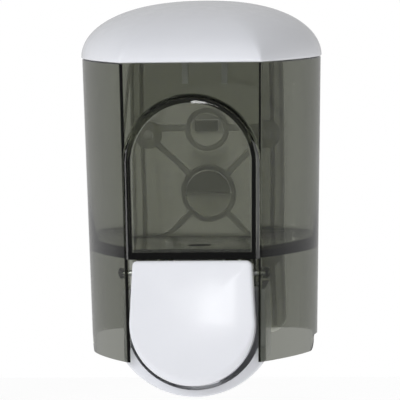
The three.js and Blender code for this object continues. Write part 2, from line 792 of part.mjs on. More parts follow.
// A straight rib on the front of the web, between two points in X and Z.
function rib(x0, z0, x1, z1, width) {
  const length = Math.hypot(x1 - x0, z1 - z0);
  const depth = WEB_FRONT_Y + 0.5 - PLATE_FRONT_Y;
  const geometry = new THREE.BoxGeometry(length, depth, width);
  geometry.rotateY(-Math.atan2(z1 - z0, x1 - x0));
  geometry.translate((x0 + x1) / 2, PLATE_FRONT_Y + depth / 2, (z0 + z1) / 2);
  return solid(geometry);
}

// A round rib on the front of the web.
function ring(inner, outer, z, sides) {
  return cut(
    bar("y", outer, PLATE_FRONT_Y, WEB_FRONT_Y + 1, [0, z], sides),
    bar("y", inner, PLATE_FRONT_Y - 1, WEB_FRONT_Y, [0, z], sides),
  );
}

function backPlate() {
  const ribY = PLATE_FRONT_Y;
  const blockX = SLOT_HALF_X + 2;
  const blockZ = SLOT_HALF_Z + 2;
  let plate = join(
    cut(roundedPlate(0, ribY, 0), roundedPlate(PLATE_RIM, ribY - 1, 1)),
    roundedPlate(1, WEB_FRONT_Y, WEB_REAR_Y),
    ring(...SLOT_RING_R, SLOT_RING_Z, 24),
    ring(HOLE_R, HOLE_R + HOLE_RING, HOLE_Z, 28),
    // On the wall side: the middle pad and the blocks that close the slot and the half-moon.
    box(-10, 10, WEB_REAR_Y - 1, 0, -2.9, 3.5),
    box(-blockX, blockX, WEB_REAR_Y - 1, 0, SLOT_Z - blockZ, SLOT_Z + blockZ),
    bar("y", HOLE_R + HOLE_RING, WEB_REAR_Y - 1, 0, [0, HOLE_Z], 28),
  );
  for (const side of [-1, 1]) {
    const bossX = side * BOSS_X;
    plate = join(
      plate,
      rib(side * SIDE_RIB_X, PLATE_FOOT_Z + 1, side * SIDE_RIB_X, PLATE_TOP_Z - 1, 2),
      rib(side * 10.5, CROSS_RIB_Z, bossX, CROSS_RIB_Z, 3.5),
    );
    for (const z of [BOSS_UP_Z, BOSS_LOW_Z]) {
      const start = (HOLE_R + 1.2) * Math.SQRT1_2;
      plate = cut(
        join(
          plate,
          rib(side * start, HOLE_Z + Math.sign(z - HOLE_Z) * start, bossX, z, 3),
          bar("y", BOSS_R, ribY, 0, [bossX, z], 20),
        ),
        bar("y", SCREW_HOLE_R, ribY + KNOCK_OUT, 1, [bossX, z], 12),
      );
    }
  }
  // The slot and the upper half of the round hole let the tank's keys in.
  const [slotX, slotZ] = [SLOT_HALF_X, SLOT_HALF_Z];
  return cut(
    plate,
    box(-slotX, slotX, ribY - 1, -POCKET_FLOOR, SLOT_Z - slotZ, SLOT_Z + slotZ),
    halfDiscHole(),
  );
}

function halfDiscHole() {
  const shape = new THREE.Shape();
  shape.moveTo(HOLE_R, HOLE_Z);
  shape.absarc(0, HOLE_Z, HOLE_R, 0, Math.PI, false);
  shape.closePath();
  return throughDepth(shape, PLATE_FRONT_Y - 1, -POCKET_FLOOR, 14);
}

piece("back_plate", backPlate(), WHITE());

export default root;
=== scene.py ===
"""Wall mounted soap dispenser: the looks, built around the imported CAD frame.

The scene is in metres, with +Z up and the wall at Y = 0. Meshes are worked out in millimetres."""

import json
import math

import bmesh
import bpy
from mathutils import Matrix, Vector


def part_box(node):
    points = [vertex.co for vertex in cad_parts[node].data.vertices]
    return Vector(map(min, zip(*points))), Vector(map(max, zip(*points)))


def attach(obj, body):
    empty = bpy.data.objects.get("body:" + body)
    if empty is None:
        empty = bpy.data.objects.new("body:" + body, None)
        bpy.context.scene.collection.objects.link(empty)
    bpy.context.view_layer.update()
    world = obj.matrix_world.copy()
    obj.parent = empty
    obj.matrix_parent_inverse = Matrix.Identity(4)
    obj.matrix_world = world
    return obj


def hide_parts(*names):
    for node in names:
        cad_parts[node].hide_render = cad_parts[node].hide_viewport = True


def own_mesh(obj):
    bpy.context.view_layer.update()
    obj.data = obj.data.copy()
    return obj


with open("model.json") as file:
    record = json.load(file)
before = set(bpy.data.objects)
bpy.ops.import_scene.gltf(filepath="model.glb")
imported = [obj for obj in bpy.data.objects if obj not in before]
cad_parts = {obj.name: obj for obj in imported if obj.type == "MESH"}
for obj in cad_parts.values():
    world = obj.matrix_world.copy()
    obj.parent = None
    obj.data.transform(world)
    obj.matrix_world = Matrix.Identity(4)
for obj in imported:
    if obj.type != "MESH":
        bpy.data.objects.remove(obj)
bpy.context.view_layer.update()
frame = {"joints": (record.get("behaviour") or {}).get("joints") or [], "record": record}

MM = 0.001

# ---------- camera ----------

CAMERA_AZIMUTH = 5.02  # degrees to the right of straight ahead
CAMERA_ELEVATION = 4.4
CAMERA_ROLL = -0.75
CAMERA_DISTANCE = 2.1645
CAMERA_LENS = 374.0  # mm on a 36 mm sensor
LOOK_AT = Vector((0.0004, -0.060, -0.0169))


def make_camera():
    """A long lens in front of the part, a little to its right and above it."""
    azimuth, elevation, roll = (math.radians(a) for a in (CAMERA_AZIMUTH, CAMERA_ELEVATION, CAMERA_ROLL))
    back = Vector(
        (
            math.sin(azimuth) * math.cos(elevation),
            -math.cos(azimuth) * math.cos(elevation),
            math.sin(elevation),
        )
    )
    level = Vector((math.cos(azimuth), math.sin(azimuth), 0))
    upright = back.cross(level)
    right = math.cos(roll) * level + math.sin(roll) * upright
    up = -math.sin(roll) * level + math.cos(roll) * upright
    data = bpy.data.cameras.new("camera")
    data.lens = CAMERA_LENS
    data.clip_start, data.clip_end = 0.05, 20
    camera = bpy.data.objects.new("camera", data)
    bpy.context.scene.collection.objects.link(camera)
    camera.matrix_world = Matrix.Translation(LOOK_AT + back * CAMERA_DISTANCE) @ Matrix(
        (right, up, back)
    ).transposed().to_4x4()
    bpy.context.scene.camera = camera


# ---------- materials ----------


def new_material(name):
    """A node material, its node tree and its shader."""
    material = bpy.data.materials.new(name)
    material.use_nodes = True
    tree = material.node_tree
    return material, tree, tree.nodes["Principled BSDF"]


def noise(tree, scale, detail=2.0, roughness=0.5, stretch=(1, 1, 1)):
    """Noise in object space, its scale in cycles per metre."""
    coordinates = tree.nodes.new("ShaderNodeTexCoord")
    mapping = tree.nodes.new("ShaderNodeMapping")
    mapping.inputs["Scale"].default_value = stretch
    texture = tree.nodes.new("ShaderNodeTexNoise")
    texture.inputs["Scale"].default_value = scale
    texture.inputs["Detail"].default_value = detail
    texture.inputs["Roughness"].default_value = roughness
    tree.links.new(coordinates.outputs["Object"], mapping.inputs["Vector"])
    tree.links.new(mapping.outputs["Vector"], texture.inputs["Vector"])
    return texture.outputs["Fac"]


def ramp(tree, value, low, high, start=0.35, end=0.65):
    """Colours or grey levels from low to high as the value goes from start to end."""
    node = tree.nodes.new("ShaderNodeValToRGB")
    node.color_ramp.elements[0].position = start
    node.color_ramp.elements[1].position = end
    for element, colour in zip(node.color_ramp.elements, (low, high)):
        element.color = (*colour, 1) if hasattr(colour, "__len__") else (colour, colour, colour, 1)
    tree.links.new(value, node.inputs["Fac"])
    return node.outputs["Color"]


def bump(tree, shader, height, distance, strength=1.0, below=None):
    """A bump of a height in metres on a shader, over another bump's normal if one is given."""
    node = tree.nodes.new("ShaderNodeBump")
    node.inputs["Distance"].default_value = distance
    node.inputs["Strength"].default_value = strength
    tree.links.new(height, node.inputs["Height"])
    if below is not None:
        tree.links.new(below, node.inputs["Normal"])
    tree.links.new(node.outputs["Normal"], shader.inputs["Normal"])
    return node.outputs["Normal"]


def smoke_plastic():
    """Clear smoke-grey moulding, coloured through its depth: edges seen end-on go almost black."""
    material, tree, shader = new_material("smoke_plastic")
    shader.inputs["Base Color"].default_value = (0.93, 0.935, 0.91, 1)
    shader.inputs["Transmission Weight"].default_value = 1.0
    shader.inputs["IOR"].default_value = 1.5
    tree.links.new(ramp(tree, noise(tree, scale=90, detail=3), 0.004, 0.014), shader.inputs["Roughness"])
    flow = noise(tree, scale=26, detail=2, roughness=0.45, stretch=(1, 1, 0.35))
    bump(tree, shader, flow, distance=0.0004, strength=0.08)
    absorption = tree.nodes.new("ShaderNodeVolumeAbsorption")
    absorption.inputs["Color"].default_value = (0.500, 0.512, 0.450, 1)
    absorption.inputs["Density"].default_value = 500
    tree.links.new(absorption.outputs["Volume"], tree.nodes["Material Output"].inputs["Volume"])
    return material


def white_abs(name="white_abs", colour=(0.80, 0.81, 0.85)):
    """Glossy white injection moulding with faint flow marks and a very fine surface texture."""
    material, tree, shader = new_material(name)
    darker = tuple(c * 0.965 for c in colour)
    marks = ramp(tree, noise(tree, scale=22, detail=3), darker, colour, start=0.3, end=0.7)
    gloss = ramp(tree, noise(tree, scale=160, detail=3), 0.16, 0.24)
    tree.links.new(marks, shader.inputs["Base Color"])
    tree.links.new(gloss, shader.inputs["Roughness"])
    shader.inputs["IOR"].default_value = 1.53
    shader.inputs["Subsurface Weight"].default_value = 0.08
    shader.inputs["Subsurface Radius"].default_value = (0.0012, 0.0012, 0.0012)
    shader.inputs["Coat Weight"].default_value = 0.25
    shader.inputs["Coat Roughness"].default_value = 0.06
    wave = bump(tree, shader, noise(tree, scale=38, detail=1), distance=0.0006, strength=0.05)
    grain = noise(tree, scale=1500, detail=2)
    bump(tree, shader, grain, distance=0.00002, strength=0.25, below=wave)
    return material


def plate_plastic():
    """The back plate's thin white moulding, which lets some light through from behind."""
    material = white_abs("plate_plastic", (0.90, 0.90, 0.87))
    shader = material.node_tree.nodes["Principled BSDF"]
    shader.inputs["Subsurface Weight"].default_value = 1.0
    shader.inputs["Subsurface Scale"].default_value = 1.0
    shader.inputs["Subsurface Radius"].default_value = (0.008, 0.008, 0.0072)
    shader.inputs["Coat Weight"].default_value = 0.0
    return material


def satin_plastic(name, colour, roughness):
    """Satin moulding with an even fine grain."""
    material, tree, shader = new_material(name)
    darker = tuple(c * 0.93 for c in colour)
    spread = 0.06
    clouds = ramp(tree, noise(tree, scale=60, detail=4), darker, colour)
    gloss = ramp(tree, noise(tree, scale=400, detail=3), roughness - spread, roughness + spread)
    tree.links.new(clouds, shader.inputs["Base Color"])
    tree.links.new(gloss, shader.inputs["Roughness"])
    bump(tree, shader, noise(tree, scale=1200, detail=3), distance=0.00004, strength=0.4)
    return material


def drawn_steel():
    """Stainless wire and screws, with fine lines along X."""
    material, tree, shader = new_material("steel")
    shader.inputs["Metallic"].default_value = 1.0
    lines = noise(tree, scale=900, detail=4, roughness=0.6, stretch=(0.05, 1, 1))
    tree.links.new(ramp(tree, lines, (0.50, 0.51, 0.52), (0.72, 0.73, 0.74)), shader.inputs["Base Color"])
    tree.links.new(ramp(tree, lines, 0.2, 0.38), shader.inputs["Roughness"])
    bump(tree, shader, lines, distance=0.00002, strength=0.5)
    return material


MATERIALS = {
    "smoke_plastic": smoke_plastic(),
    "white_abs": white_abs(),
    "plate_plastic": plate_plastic(),
    "natural_plastic": satin_plastic("natural_plastic", (0.74, 0.73, 0.68), 0.4),
    "steel": drawn_steel(),
    "rubber": satin_plastic("rubber", (0.022, 0.022, 0.025), 0.72),
    "silicone": satin_plastic("silicone", (0.72, 0.75, 0.73), 0.5),
}


# ---------- mesh building, in millimetres ----------

MERGE = 1e-7  # metres: points closer than this become one
AXIS_RADIUS = 1e-4  # radius of a ring on an axis, small enough for its points to become one
CORNER_SHARE = 0.4  # the most of a side that one softened corner takes
SLOT_OF = {part["node"]: part["material_slot"] for part in frame["record"]["subparts"]}
BODY_OF = {}
for body, members in frame["record"]["behaviour"]["bodies"].items():
    BODY_OF.update((node, body) for node in members)


def corners(node):
    """A CAD node's lowest and highest corners, in millimetres."""
    return tuple(Vector(corner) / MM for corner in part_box(node))


def middle(node):
    """The middle of a CAD node's box, in millimetres."""
    low, high = corners(node)
    return (low + high) / 2


def build(name, vertices, faces):
    """A mesh object from millimetre points, its faces turned outwards."""
    mesh = bpy.data.meshes.new(name)
    mesh.from_pydata([Vector(v) * MM for v in vertices], [], faces)
    work = bmesh.new()
    work.from_mesh(mesh)
    bmesh.ops.remove_doubles(work, verts=work.verts, dist=MERGE)
    bmesh.ops.recalc_face_normals(work, faces=work.faces)
    work.to_mesh(mesh)
    work.free()
    piece = bpy.data.objects.new(name, mesh)
    bpy.context.scene.collection.objects.link(piece)
    return piece


def loft(rings, closed=False):
    """A closed skin over rings of equal length. A closed loft joins its last ring to its first."""
    count = len(rings[0])
    vertices = [point for ring in rings for point in ring]
    faces = []
    for i in range(len(rings) if closed else len(rings) - 1):
        a, b = i * count, ((i + 1) % len(rings)) * count
        for j in range(count):
            k = (j + 1) % count
            faces.append((a + j, a + k, b + k, b + j))
    if not closed:
        faces.append(tuple(range(count)))
        faces.append(tuple(range((len(rings) - 1) * count, len(rings) * count)))
    return build("loft", vertices, faces)


PLACE = {
    "x": lambda a, b, along: (along, a, b),
    "y": lambda a, b, along: (a, along, b),
    "z": lambda a, b, along: (a, b, along),
}


def prism(outline, low, high, axis):
    """An outline extruded along an axis; it gives the other two coordinates in X, Y, Z order."""
    return loft([[PLACE[axis](a, b, along) for a, b in outline] for along in (low, high)])


def block(x0, x1, y0, y1, z0, z1):
    """A box between two places on each axis."""
    return prism([(x0, y0), (x1, y0), (x1, y1), (x0, y1)], z0, z1, "z")


def arc(centre, radius, start, end, steps):
    """Points on an arc, its angles in degrees, both ends included."""
    angles = (math.radians(start + (end - start) * i / steps) for i in range(steps + 1))
    return [(centre[0] + radius * math.cos(a), centre[1] + radius * math.sin(a)) for a in angles]


def bar(axis, radius, low, high, centre, sides=48):
    return prism(arc(centre, radius, 0, 360, sides)[:-1], low, high, axis)


def soften(profile, reach, closed):
    """Rounds the corners of a profile with short curves."""
    points = [Vector(p) for p in profile]
    result = []
    for i, here in enumerate(points):
        if not closed and i in (0, len(points) - 1):
            result.append(here)
            continue
        before, after = points[i - 1], points[(i + 1) % len(points)]
        start = here + (before - here).normalized() * min(reach, (before - here).length * CORNER_SHARE)
        end = here + (after - here).normalized() * min(reach, (after - here).length * CORNER_SHARE)
        for t in (0, 0.5, 1):
            result.append(start.lerp(here, t).lerp(here.lerp(end, t), t))
    return result


def turned(profile, axis, centre, reach=0.25, sides=64):
    """A profile of (radius, place along the axis) pairs turned about an axis.

    One that doesn't start on the axis is closed into a ring."""
    closed = profile[0][0] > 0
    rings = []
    for radius, along in soften(profile, reach, closed):
        outline = arc(centre, max(radius, AXIS_RADIUS), 0, 360, sides)[:-1]
        rings.append([PLACE[axis](a, b, along) for a, b in outline])
    return loft(rings, closed)


def combine(target, tool, operation):
    """Joins a tool to a piece, cuts it away or keeps what they share, and removes the tool."""
    modifier = target.modifiers.new("combine", "BOOLEAN")
    modifier.operation = operation
    modifier.solver = "EXACT"
    modifier.object = tool
    graph = bpy.context.evaluated_depsgraph_get()
    result = bpy.data.meshes.new_from_object(target.evaluated_get(graph))
    target.modifiers.clear()
    target.data = result
    bpy.data.objects.remove(tool)
    return target


def join(target, *tools):
    for tool in tools:
        combine(target, tool, "UNION")
    return target


def cut(target, *tools):
    for tool in tools:
        combine(target, tool, "DIFFERENCE")
    return target


def finish_piece(piece, name, node, look=None, sharp=28):
    """Names a piece, shades it, gives it the body of the CAD node that it replaces and hides that node.

    Its material is its slot's own, unless a look names another."""
    piece.name = piece.data.name = name
    work = bmesh.new()
    work.from_mesh(piece.data)
    bmesh.ops.remove_doubles(work, verts=work.verts, dist=MERGE)
    bmesh.ops.dissolve_degenerate(work, edges=work.edges, dist=MERGE)
    work.to_mesh(piece.data)
    work.free()
    piece.data.shade_smooth()
    piece.data.set_sharp_from_angle(angle=math.radians(sharp))
    slot = SLOT_OF[node]
    piece.data.materials.clear()
    piece.data.materials.append(MATERIALS[look or slot])
    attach(piece, BODY_OF[node])
    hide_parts(node)
    return piece


# ---------- sizes, from the frame ----------

GAP = 0.3  # clearance between parts that meet
WALL = 2.5
OVER = 1  # how far pieces that are joined or cut reach past each other's faces
PAST = 5  # the same, for a cut that has room
tank_low, tank_high = corners("tank")
lid_low, lid_high = corners("lid")
plate_low, plate_high = corners("back_plate")
housing_low, housing_high = corners("lower_housing")
pivot = Vector(next(j for j in frame["joints"] if j["name"] == "lever_swing")["pos_m"]) / MM

ARCH_PROUD = 6.0  # how far the arched window stands out of the front
FRONT_Y = tank_low.y + ARCH_PROUD
KEY_Y = tank_high.y
KEY_REACH = 6.5  # how far the keys stand out of the rear wall
REAR_Y = KEY_Y - KEY_REACH
RIM_Z = tank_high.z
SKIRT_FRONT_Z = tank_low.z
RESERVOIR_DEPTH = 96.4
FLOOR_TOP_Z = RIM_Z - RESERVOIR_DEPTH
FLOOR_Z = FLOOR_TOP_Z - 3.6
DRAFT = 0.036 / RESERVOIR_DEPTH  # share of its width that the body loses for each millimetre down

# The body in plan, on its right side.
CORNER_X = 36.2
CORNER_LEAN = (7.8, 10)  # where the side leaves the front corner, as seen from it
WIDEST = (62.5, -40)
BEFORE_WIDEST, AFTER_WIDEST = (60.5, -64), (63.8, -24)  # they pull the side's curve
REAR_CORNER_X = 58
REAR_FLAT_X = 43.5

OUTLET_Y = middle("outlet_gasket").y
SCREWS = [tuple(middle(f"housing_screw_{i}").xy) for i in (1, 2, 3, 4)]
PUMP_SCREW_X = middle("pump_screw_right").x
BORE_Z = middle("plunger").z
SPOUT_Y = middle("nozzle").y


def cubic(start, first, second, end, steps):
    """Points of a cubic curve, its first point left out."""
    points = []
    for i in range(1, steps + 1):
        t = i / steps
        weights = ((1 - t) ** 3, 3 * t * (1 - t) ** 2, 3 * t * t * (1 - t), t**3)
        curve = (start, first, second, end)
        points.append(tuple(sum(w * p[k] for w, p in zip(weights, curve)) for k in (0, 1)))
    return points


def body_outline(crease_reach=0.0, steps=26):
    """The body in plan at its rim, anticlockwise.

    It has a flat front, creased corners, bulging sides and rounded rear corners."""
    front, rear = FRONT_Y, REAR_Y
    corner, lean = Vector((CORNER_X, front)), Vector(CORNER_LEAN).normalized()
    beside = (CORNER_X + CORNER_LEAN[0], front + CORNER_LEAN[1])
    side = cubic(corner, beside, BEFORE_WIDEST, WIDEST, steps)
    back = cubic(WIDEST, AFTER_WIDEST, (REAR_CORNER_X, rear), (REAR_FLAT_X, rear), steps)
    crease = [tuple(corner)]
    if crease_reach:
        before, after = corner - Vector((crease_reach, 0)), corner + lean * crease_reach
        shares = (0, 0.25, 0.5, 0.75, 1)
        crease = [tuple(before.lerp(corner, t).lerp(corner.lerp(after, t), t)) for t in shares]
    flat_points, flat_share = 8, 0.95
    flat = [(corner.x * i / flat_points * flat_share, front) for i in range(flat_points)]
    right = flat + crease + side + back + [(REAR_FLAT_X * 2 / 3, rear), (REAR_FLAT_X / 3, rear)]
    left = [(-x, y) for x, y in reversed(right[1:])]
    return right + [(0, rear)] + left


def inset(points, distance):
    """Moves a closed anticlockwise outline inwards, with mitred corners.

    The distance is one number or one for each point."""
    distances = distance if isinstance(distance, list) else [distance] * len(points)
    mitre_limit = 0.3
    moved = []
    for i, (here, far) in enumerate(zip(points, distances)):
        here = Vector(here)
        before = (here - Vector(points[i - 1])).normalized()
        after = (Vector(points[(i + 1) % len(points)]) - here).normalized()
        inward = Vector((-before.y - after.y, before.x + after.x)).normalized()
        across = inward.dot(Vector((-before.y, before.x)))
        moved.append(tuple(here + inward * (far / max(mitre_limit, across))))
    return moved


def without_midpoints(outline):
    """The outline without the points along its straight stretches."""
    straight = 1e-4
    kept = []
    for i, (x, y) in enumerate(outline):
        (x0, y0), (x1, y1) = outline[i - 1], outline[(i + 1) % len(outline)]
        if abs((x - x0) * (y1 - y) - (y - y0) * (x1 - x)) > straight:
            kept.append((x, y))
    return kept


def drafted(outline, z):
    """The plan outline as a ring at a height, narrowed by the body's draft."""
    width = 1 - DRAFT * (RIM_Z - z)
    return [(x * width, y, z) for x, y in outline]


SOFT = body_outline(0.8)  # with the crease rounded, for outer skins
SHARP = body_outline()  # for what is moved inwards

# ---------- tank ----------

# The raised arched window: half widths where its sides meet the round top and at its foot.
ARCH_HALF, ARCH_FOOT_HALF = 35.4, 34.8
ARCH_SPRING_Z = RIM_Z - 50.9
ARCH_LEAN = 2.4  # how far its edge leans in from the front to its face
ARCH_WALL = 1.1
ARCH_RIM_R, ARCH_INSIDE_R = 1.1, 0.8

# The keys on the rear wall, one in the plate's slot and one in its half-moon hole.
SLOT_Z, SLOT_HALF = RIM_Z - 37.4, (6.3, 3.1)
HOLE_Z, HOLE_R = RIM_Z - 74.4, 12.3
HALF_MOON_GAP, HALF_MOON_TRIM = 0.4, 2.3  # the trim in degrees at each end

# The skirt under the reservoir.
SKIRT_OPENING_HALF = 32.9  # between the cheeks
SKIRT_STEP_Y, SKIRT_REAR_RISE = -46.5, 8
SKIRT_LOWER_R, SKIRT_UPPER_R = 6.5, 1.5

# What stands on the underside of the reservoir's floor.
OUTLET_R, OUTLET_BORE_R, OUTLET_FOOT_Z = 9.5, 6.5, -50
PUMP_BOSS_R, PUMP_BOSS_HOLE_R, PUMP_BOSS_FOOT_Z = 3.6, 1.6, -50.3
HOUSING_BOSS_R, HOUSING_BOSS_HOLE_R, HOUSING_BOSS_FOOT_Z = 4, 1.8, -59.7
HOUSING_BOSS_SOLID = 4  # what its hole leaves under the floor

# The bosses on the cheeks that hold the hinge rod.
ROD_BOSS_R, ROD_BOSS_X, ROD_BOSS_FAR_X = 2.8, 34.4, 45
ROD_HOLE_R, ROD_HOLE_HALF = 1.8, 36.9


def arch_ring(smaller, y, foot_z):
    """The arch's outline at a depth, smaller by a distance, with its foot at a height."""
    half, foot = ARCH_HALF - smaller, ARCH_FOOT_HALF - smaller
    outline = arc((0, ARCH_SPRING_Z), half, 0, 180, 84) + [(-foot, foot_z), (foot, foot_z)]
    return [(x, y, z) for x, z in outline]


def arch_block(smaller, front, back, foot_z, soft):
    """The raised window: its edge slopes back from a rounded front rim."""
    slope = ARCH_LEAN / ARCH_PROUD
    reach = FRONT_Y - front
    spread = 1.2  # width of the rim's rounding for each millimetre of its depth
    rings = [arch_ring(smaller, back, foot_z), arch_ring(smaller, FRONT_Y, foot_z)]
    for angle in (0, 25, 50, 75, 90):
        a = math.radians(angle)
        inwards = slope * (reach - soft) + soft * spread * (1 - math.cos(a))
        rings.append(arch_ring(smaller + inwards, front + soft * (1 - math.sin(a)), foot_z))
    return loft(rings)


def half_disc(radius, y0, y1, trim=0.0):
    """The upper half of a disc in the plate's half-moon hole, less some degrees at each end."""
    return prism(arc((0, HOLE_Z), radius, trim, 180 - trim, 44), y0, y1, "y")


def below_skirt():
    """What is under the skirt's lower edge, which steps up towards the rear in two bends."""
    front, rear, half_width = FRONT_Y - 20, 5, 80
    foot_z = SKIRT_FRONT_Z - 20
    rear_z = SKIRT_FRONT_Z + SKIRT_REAR_RISE
    upper = (SKIRT_STEP_Y + SKIRT_UPPER_R, rear_z - SKIRT_UPPER_R)
    lower = (SKIRT_STEP_Y - SKIRT_LOWER_R, SKIRT_FRONT_Z + SKIRT_LOWER_R)
    outline = [(front, SKIRT_FRONT_Z), (front, foot_z), (rear, foot_z), (rear, rear_z)]
    outline += arc(upper, SKIRT_UPPER_R, 90, 180, 10)
    outline += arc(lower, SKIRT_LOWER_R, 0, -90, 20)
    return prism(outline, -half_width, half_width, "x")


def tank_walls():
    """The reservoir with its floor and its window, and the skirt below it."""
    rim_chamfer, rim_fall, below = 0.35, 0.4, 3
    # The rings at -70 and 0 only split the tall walls.
    heights = (SKIRT_FRONT_Z - below, -70, FLOOR_Z, 0, RIM_Z - rim_fall)
    shell = loft([drafted(SOFT, z) for z in heights] + [drafted(inset(SOFT, rim_chamfer), RIM_Z)])
    join(shell, arch_block(0, FRONT_Y - ARCH_PROUD, FRONT_Y + OVER, FLOOR_Z, ARCH_RIM_R))
    inner = without_midpoints(inset(SHARP, WALL))
    fillet = 3.0  # between the walls and the floor
    rings = []
    for angle in (0, 22, 45, 67, 90):
        a = math.radians(angle)
        z = FLOOR_TOP_Z + fillet * (1 - math.cos(a))
        rings.append(drafted(inset(inner, fillet * (1 - math.sin(a))), z))
    cut(shell, loft(rings + [drafted(inner, 0), drafted(inner, RIM_Z + PAST)]))
    arch_inside_y = FRONT_Y - ARCH_PROUD + ARCH_WALL
    cut(shell, arch_block(WALL, arch_inside_y, FRONT_Y + WALL + OVER, FLOOR_TOP_Z, ARCH_INSIDE_R))
    cut(shell, loft([drafted(inner, SKIRT_FRONT_Z - PAST), drafted(inner, FLOOR_Z)]))
    cut(shell, below_skirt())
    half, front = SKIRT_OPENING_HALF, FRONT_Y - 2 * PAST
    cut(shell, block(-half, half, front, FRONT_Y + PAST, SKIRT_FRONT_Z - PAST, FLOOR_Z))
    return shell


def make_tank():
    shell = tank_walls()
    outlet = (0, OUTLET_Y)
    join(shell, bar("z", OUTLET_R, OUTLET_FOOT_Z, FLOOR_Z + OVER, outlet))
    for side in (-1, 1):
        place = (side * PUMP_SCREW_X, OUTLET_Y)
        join(shell, bar("z", PUMP_BOSS_R, PUMP_BOSS_FOOT_Z, FLOOR_Z + OVER, place, 24))
        low, high = sorted((side * ROD_BOSS_X, side * ROD_BOSS_FAR_X))
        boss = bar("x", ROD_BOSS_R, low, high, (pivot.y, pivot.z), 40)
        # The boss ends inside the cheek's wall, whose outer skin stays whole.
        limit = loft([drafted(inset(SHARP, OVER), z) for z in (SKIRT_FRONT_Z, FLOOR_Z - OVER)])
        join(shell, combine(boss, limit, "INTERSECT"))
    for place in SCREWS:
        join(shell, bar("z", HOUSING_BOSS_R, HOUSING_BOSS_FOOT_Z, FLOOR_Z + OVER, place, 28))
    key_x, key_z = (half - GAP for half in SLOT_HALF)
    join(shell, block(-key_x, key_x, REAR_Y - OVER, KEY_Y, SLOT_Z - key_z, SLOT_Z + key_z))
    join(shell, half_disc(HOLE_R - HALF_MOON_GAP, REAR_Y - OVER, KEY_Y, HALF_MOON_TRIM))

    cut(shell, bar("z", OUTLET_BORE_R, OUTLET_FOOT_Z - OVER, FLOOR_TOP_Z + OVER, outlet))
    cut(shell, bar("x", ROD_HOLE_R, -ROD_HOLE_HALF, ROD_HOLE_HALF, (pivot.y, pivot.z), 32))
    for x in (-PUMP_SCREW_X, PUMP_SCREW_X):
        cut(shell, bar("z", PUMP_BOSS_HOLE_R, OUTLET_FOOT_Z - OVER, FLOOR_Z - OVER, (x, OUTLET_Y), 16))
    for place in SCREWS:
        under, top = HOUSING_BOSS_FOOT_Z - OVER, FLOOR_Z - HOUSING_BOSS_SOLID
        cut(shell, bar("z", HOUSING_BOSS_HOLE_R, under, top, place, 16))
    finish_piece(shell, "tank_shell", "tank")


# ---------- lid ----------

LID_OVERHANG = 0.44  # how far the lid's edge stands out over the tank
LID_SIDE_WALL = 2.0
LID_EDGE_R = 0.7
LIP_OUTER, LIP_INNER, LIP_DEPTH = 3.0, 4.8, 3
LEDGE_INSET, LEDGE_FOOT, LEDGE_TOP = 0.5, 0.05, 1.6
LEG_X, LEG_HALF, LEG_FRONT_Y, LEG_REAR_Y = 10.5, 1.5, -16.5, -12
LEG_TOP_DROP = 1.6  # under the crown, inside the lid's wall


def smoothed(outline, rounds=260):
    """The outline with its corners melted away, stretched back to its own width and depth."""
    points = [Vector(p) for p in outline]
    count = len(points)
    for _ in range(rounds):
        points = [points[i] * 0.5 + (points[i - 1] + points[(i + 1) % count]) * 0.25 for i in range(count)]
    wide = max(p[0] for p in outline) / max(p.x for p in points)
    low, high = min(p[1] for p in outline), max(p[1] for p in outline)
    soft_low, soft_high = min(p.y for p in points), max(p.y for p in points)
    deep = (high - low) / (soft_high - soft_low)
    return [Vector((p.x * wide, low + (p.y - soft_low) * deep)) for p in points]


def dome_rings(outline, z0, height, levels):
    """Rings from rim to crown, drawn in towards the middle of the rear edge.

    Their corners are softer the higher they are."""
    full_turn = 0.985 * math.pi / 2  # short of a quarter turn, so that the crown keeps a small flat
    shrink_power, melt_rate, melt_power = 0.8, 1.3, 1.2
    rear = max(p[1] for p in outline)
    soft = smoothed(outline)
    rings = []
    for level in range(levels + 1):
        share = level / levels
        angle = share * full_turn
        shrink = math.cos(angle) ** shrink_power
        melt = min(1.0, share * melt_rate) ** melt_power
        ring = []
        for (x, y), q in zip(outline, soft):
            px, py = x + (q.x - x) * melt, y + (q.y - y) * melt
            ring.append((px * shrink, rear + (py - rear) * shrink, z0 + height * math.sin(angle)))
        rings.append(ring)
    return rings


def make_lid():
    rim = RIM_Z + GAP
    outside = inset(SOFT, -LID_OVERHANG)
    height = lid_high.z - rim
    bottom = []
    for angle in (90, 60, 30):
        a = math.radians(angle)
        z = rim + LID_EDGE_R * (1 - math.sin(a))
        bottom.append([(x, y, z) for x, y in inset(outside, LID_EDGE_R * (1 - math.cos(a)))])
    shell = loft(bottom + dome_rings(outside, rim + LID_EDGE_R, height - LID_EDGE_R, 44))
    below = 0.5
    cut(shell, loft(dome_rings(inset(SHARP, LID_SIDE_WALL), rim - below, height - WALL + below, 26)))

    # A lip inside the tank's rim, and a ledge that joins it to the lid's wall.
    plain = without_midpoints(SHARP)
    lip_inside = inset(plain, LIP_INNER)
    lip_foot, lip_top = RIM_Z - LIP_DEPTH, rim + 3
    lip = loft([drafted(inset(plain, LIP_OUTER), z) for z in (lip_foot, lip_top)])
    cut(lip, loft([drafted(lip_inside, z) for z in (lip_foot - PAST - OVER, lip_top + OVER)]))
    ledge = loft([drafted(inset(plain, LEDGE_INSET), z) for z in (rim + LEDGE_FOOT, rim + LEDGE_TOP)])
    cut(ledge, loft([drafted(lip_inside, z) for z in (rim - OVER, lip_top)]))
    join(shell, lip, ledge)
    leg_top = rim + height - LEG_TOP_DROP
    for side in (-1, 1):
        x = side * LEG_X
        join(shell, block(x - LEG_HALF, x + LEG_HALF, LEG_FRONT_Y, LEG_REAR_Y, lid_low.z, leg_top))
    finish_piece(shell, "lid_shell", "lid", sharp=35)


# ---------- push lever ----------

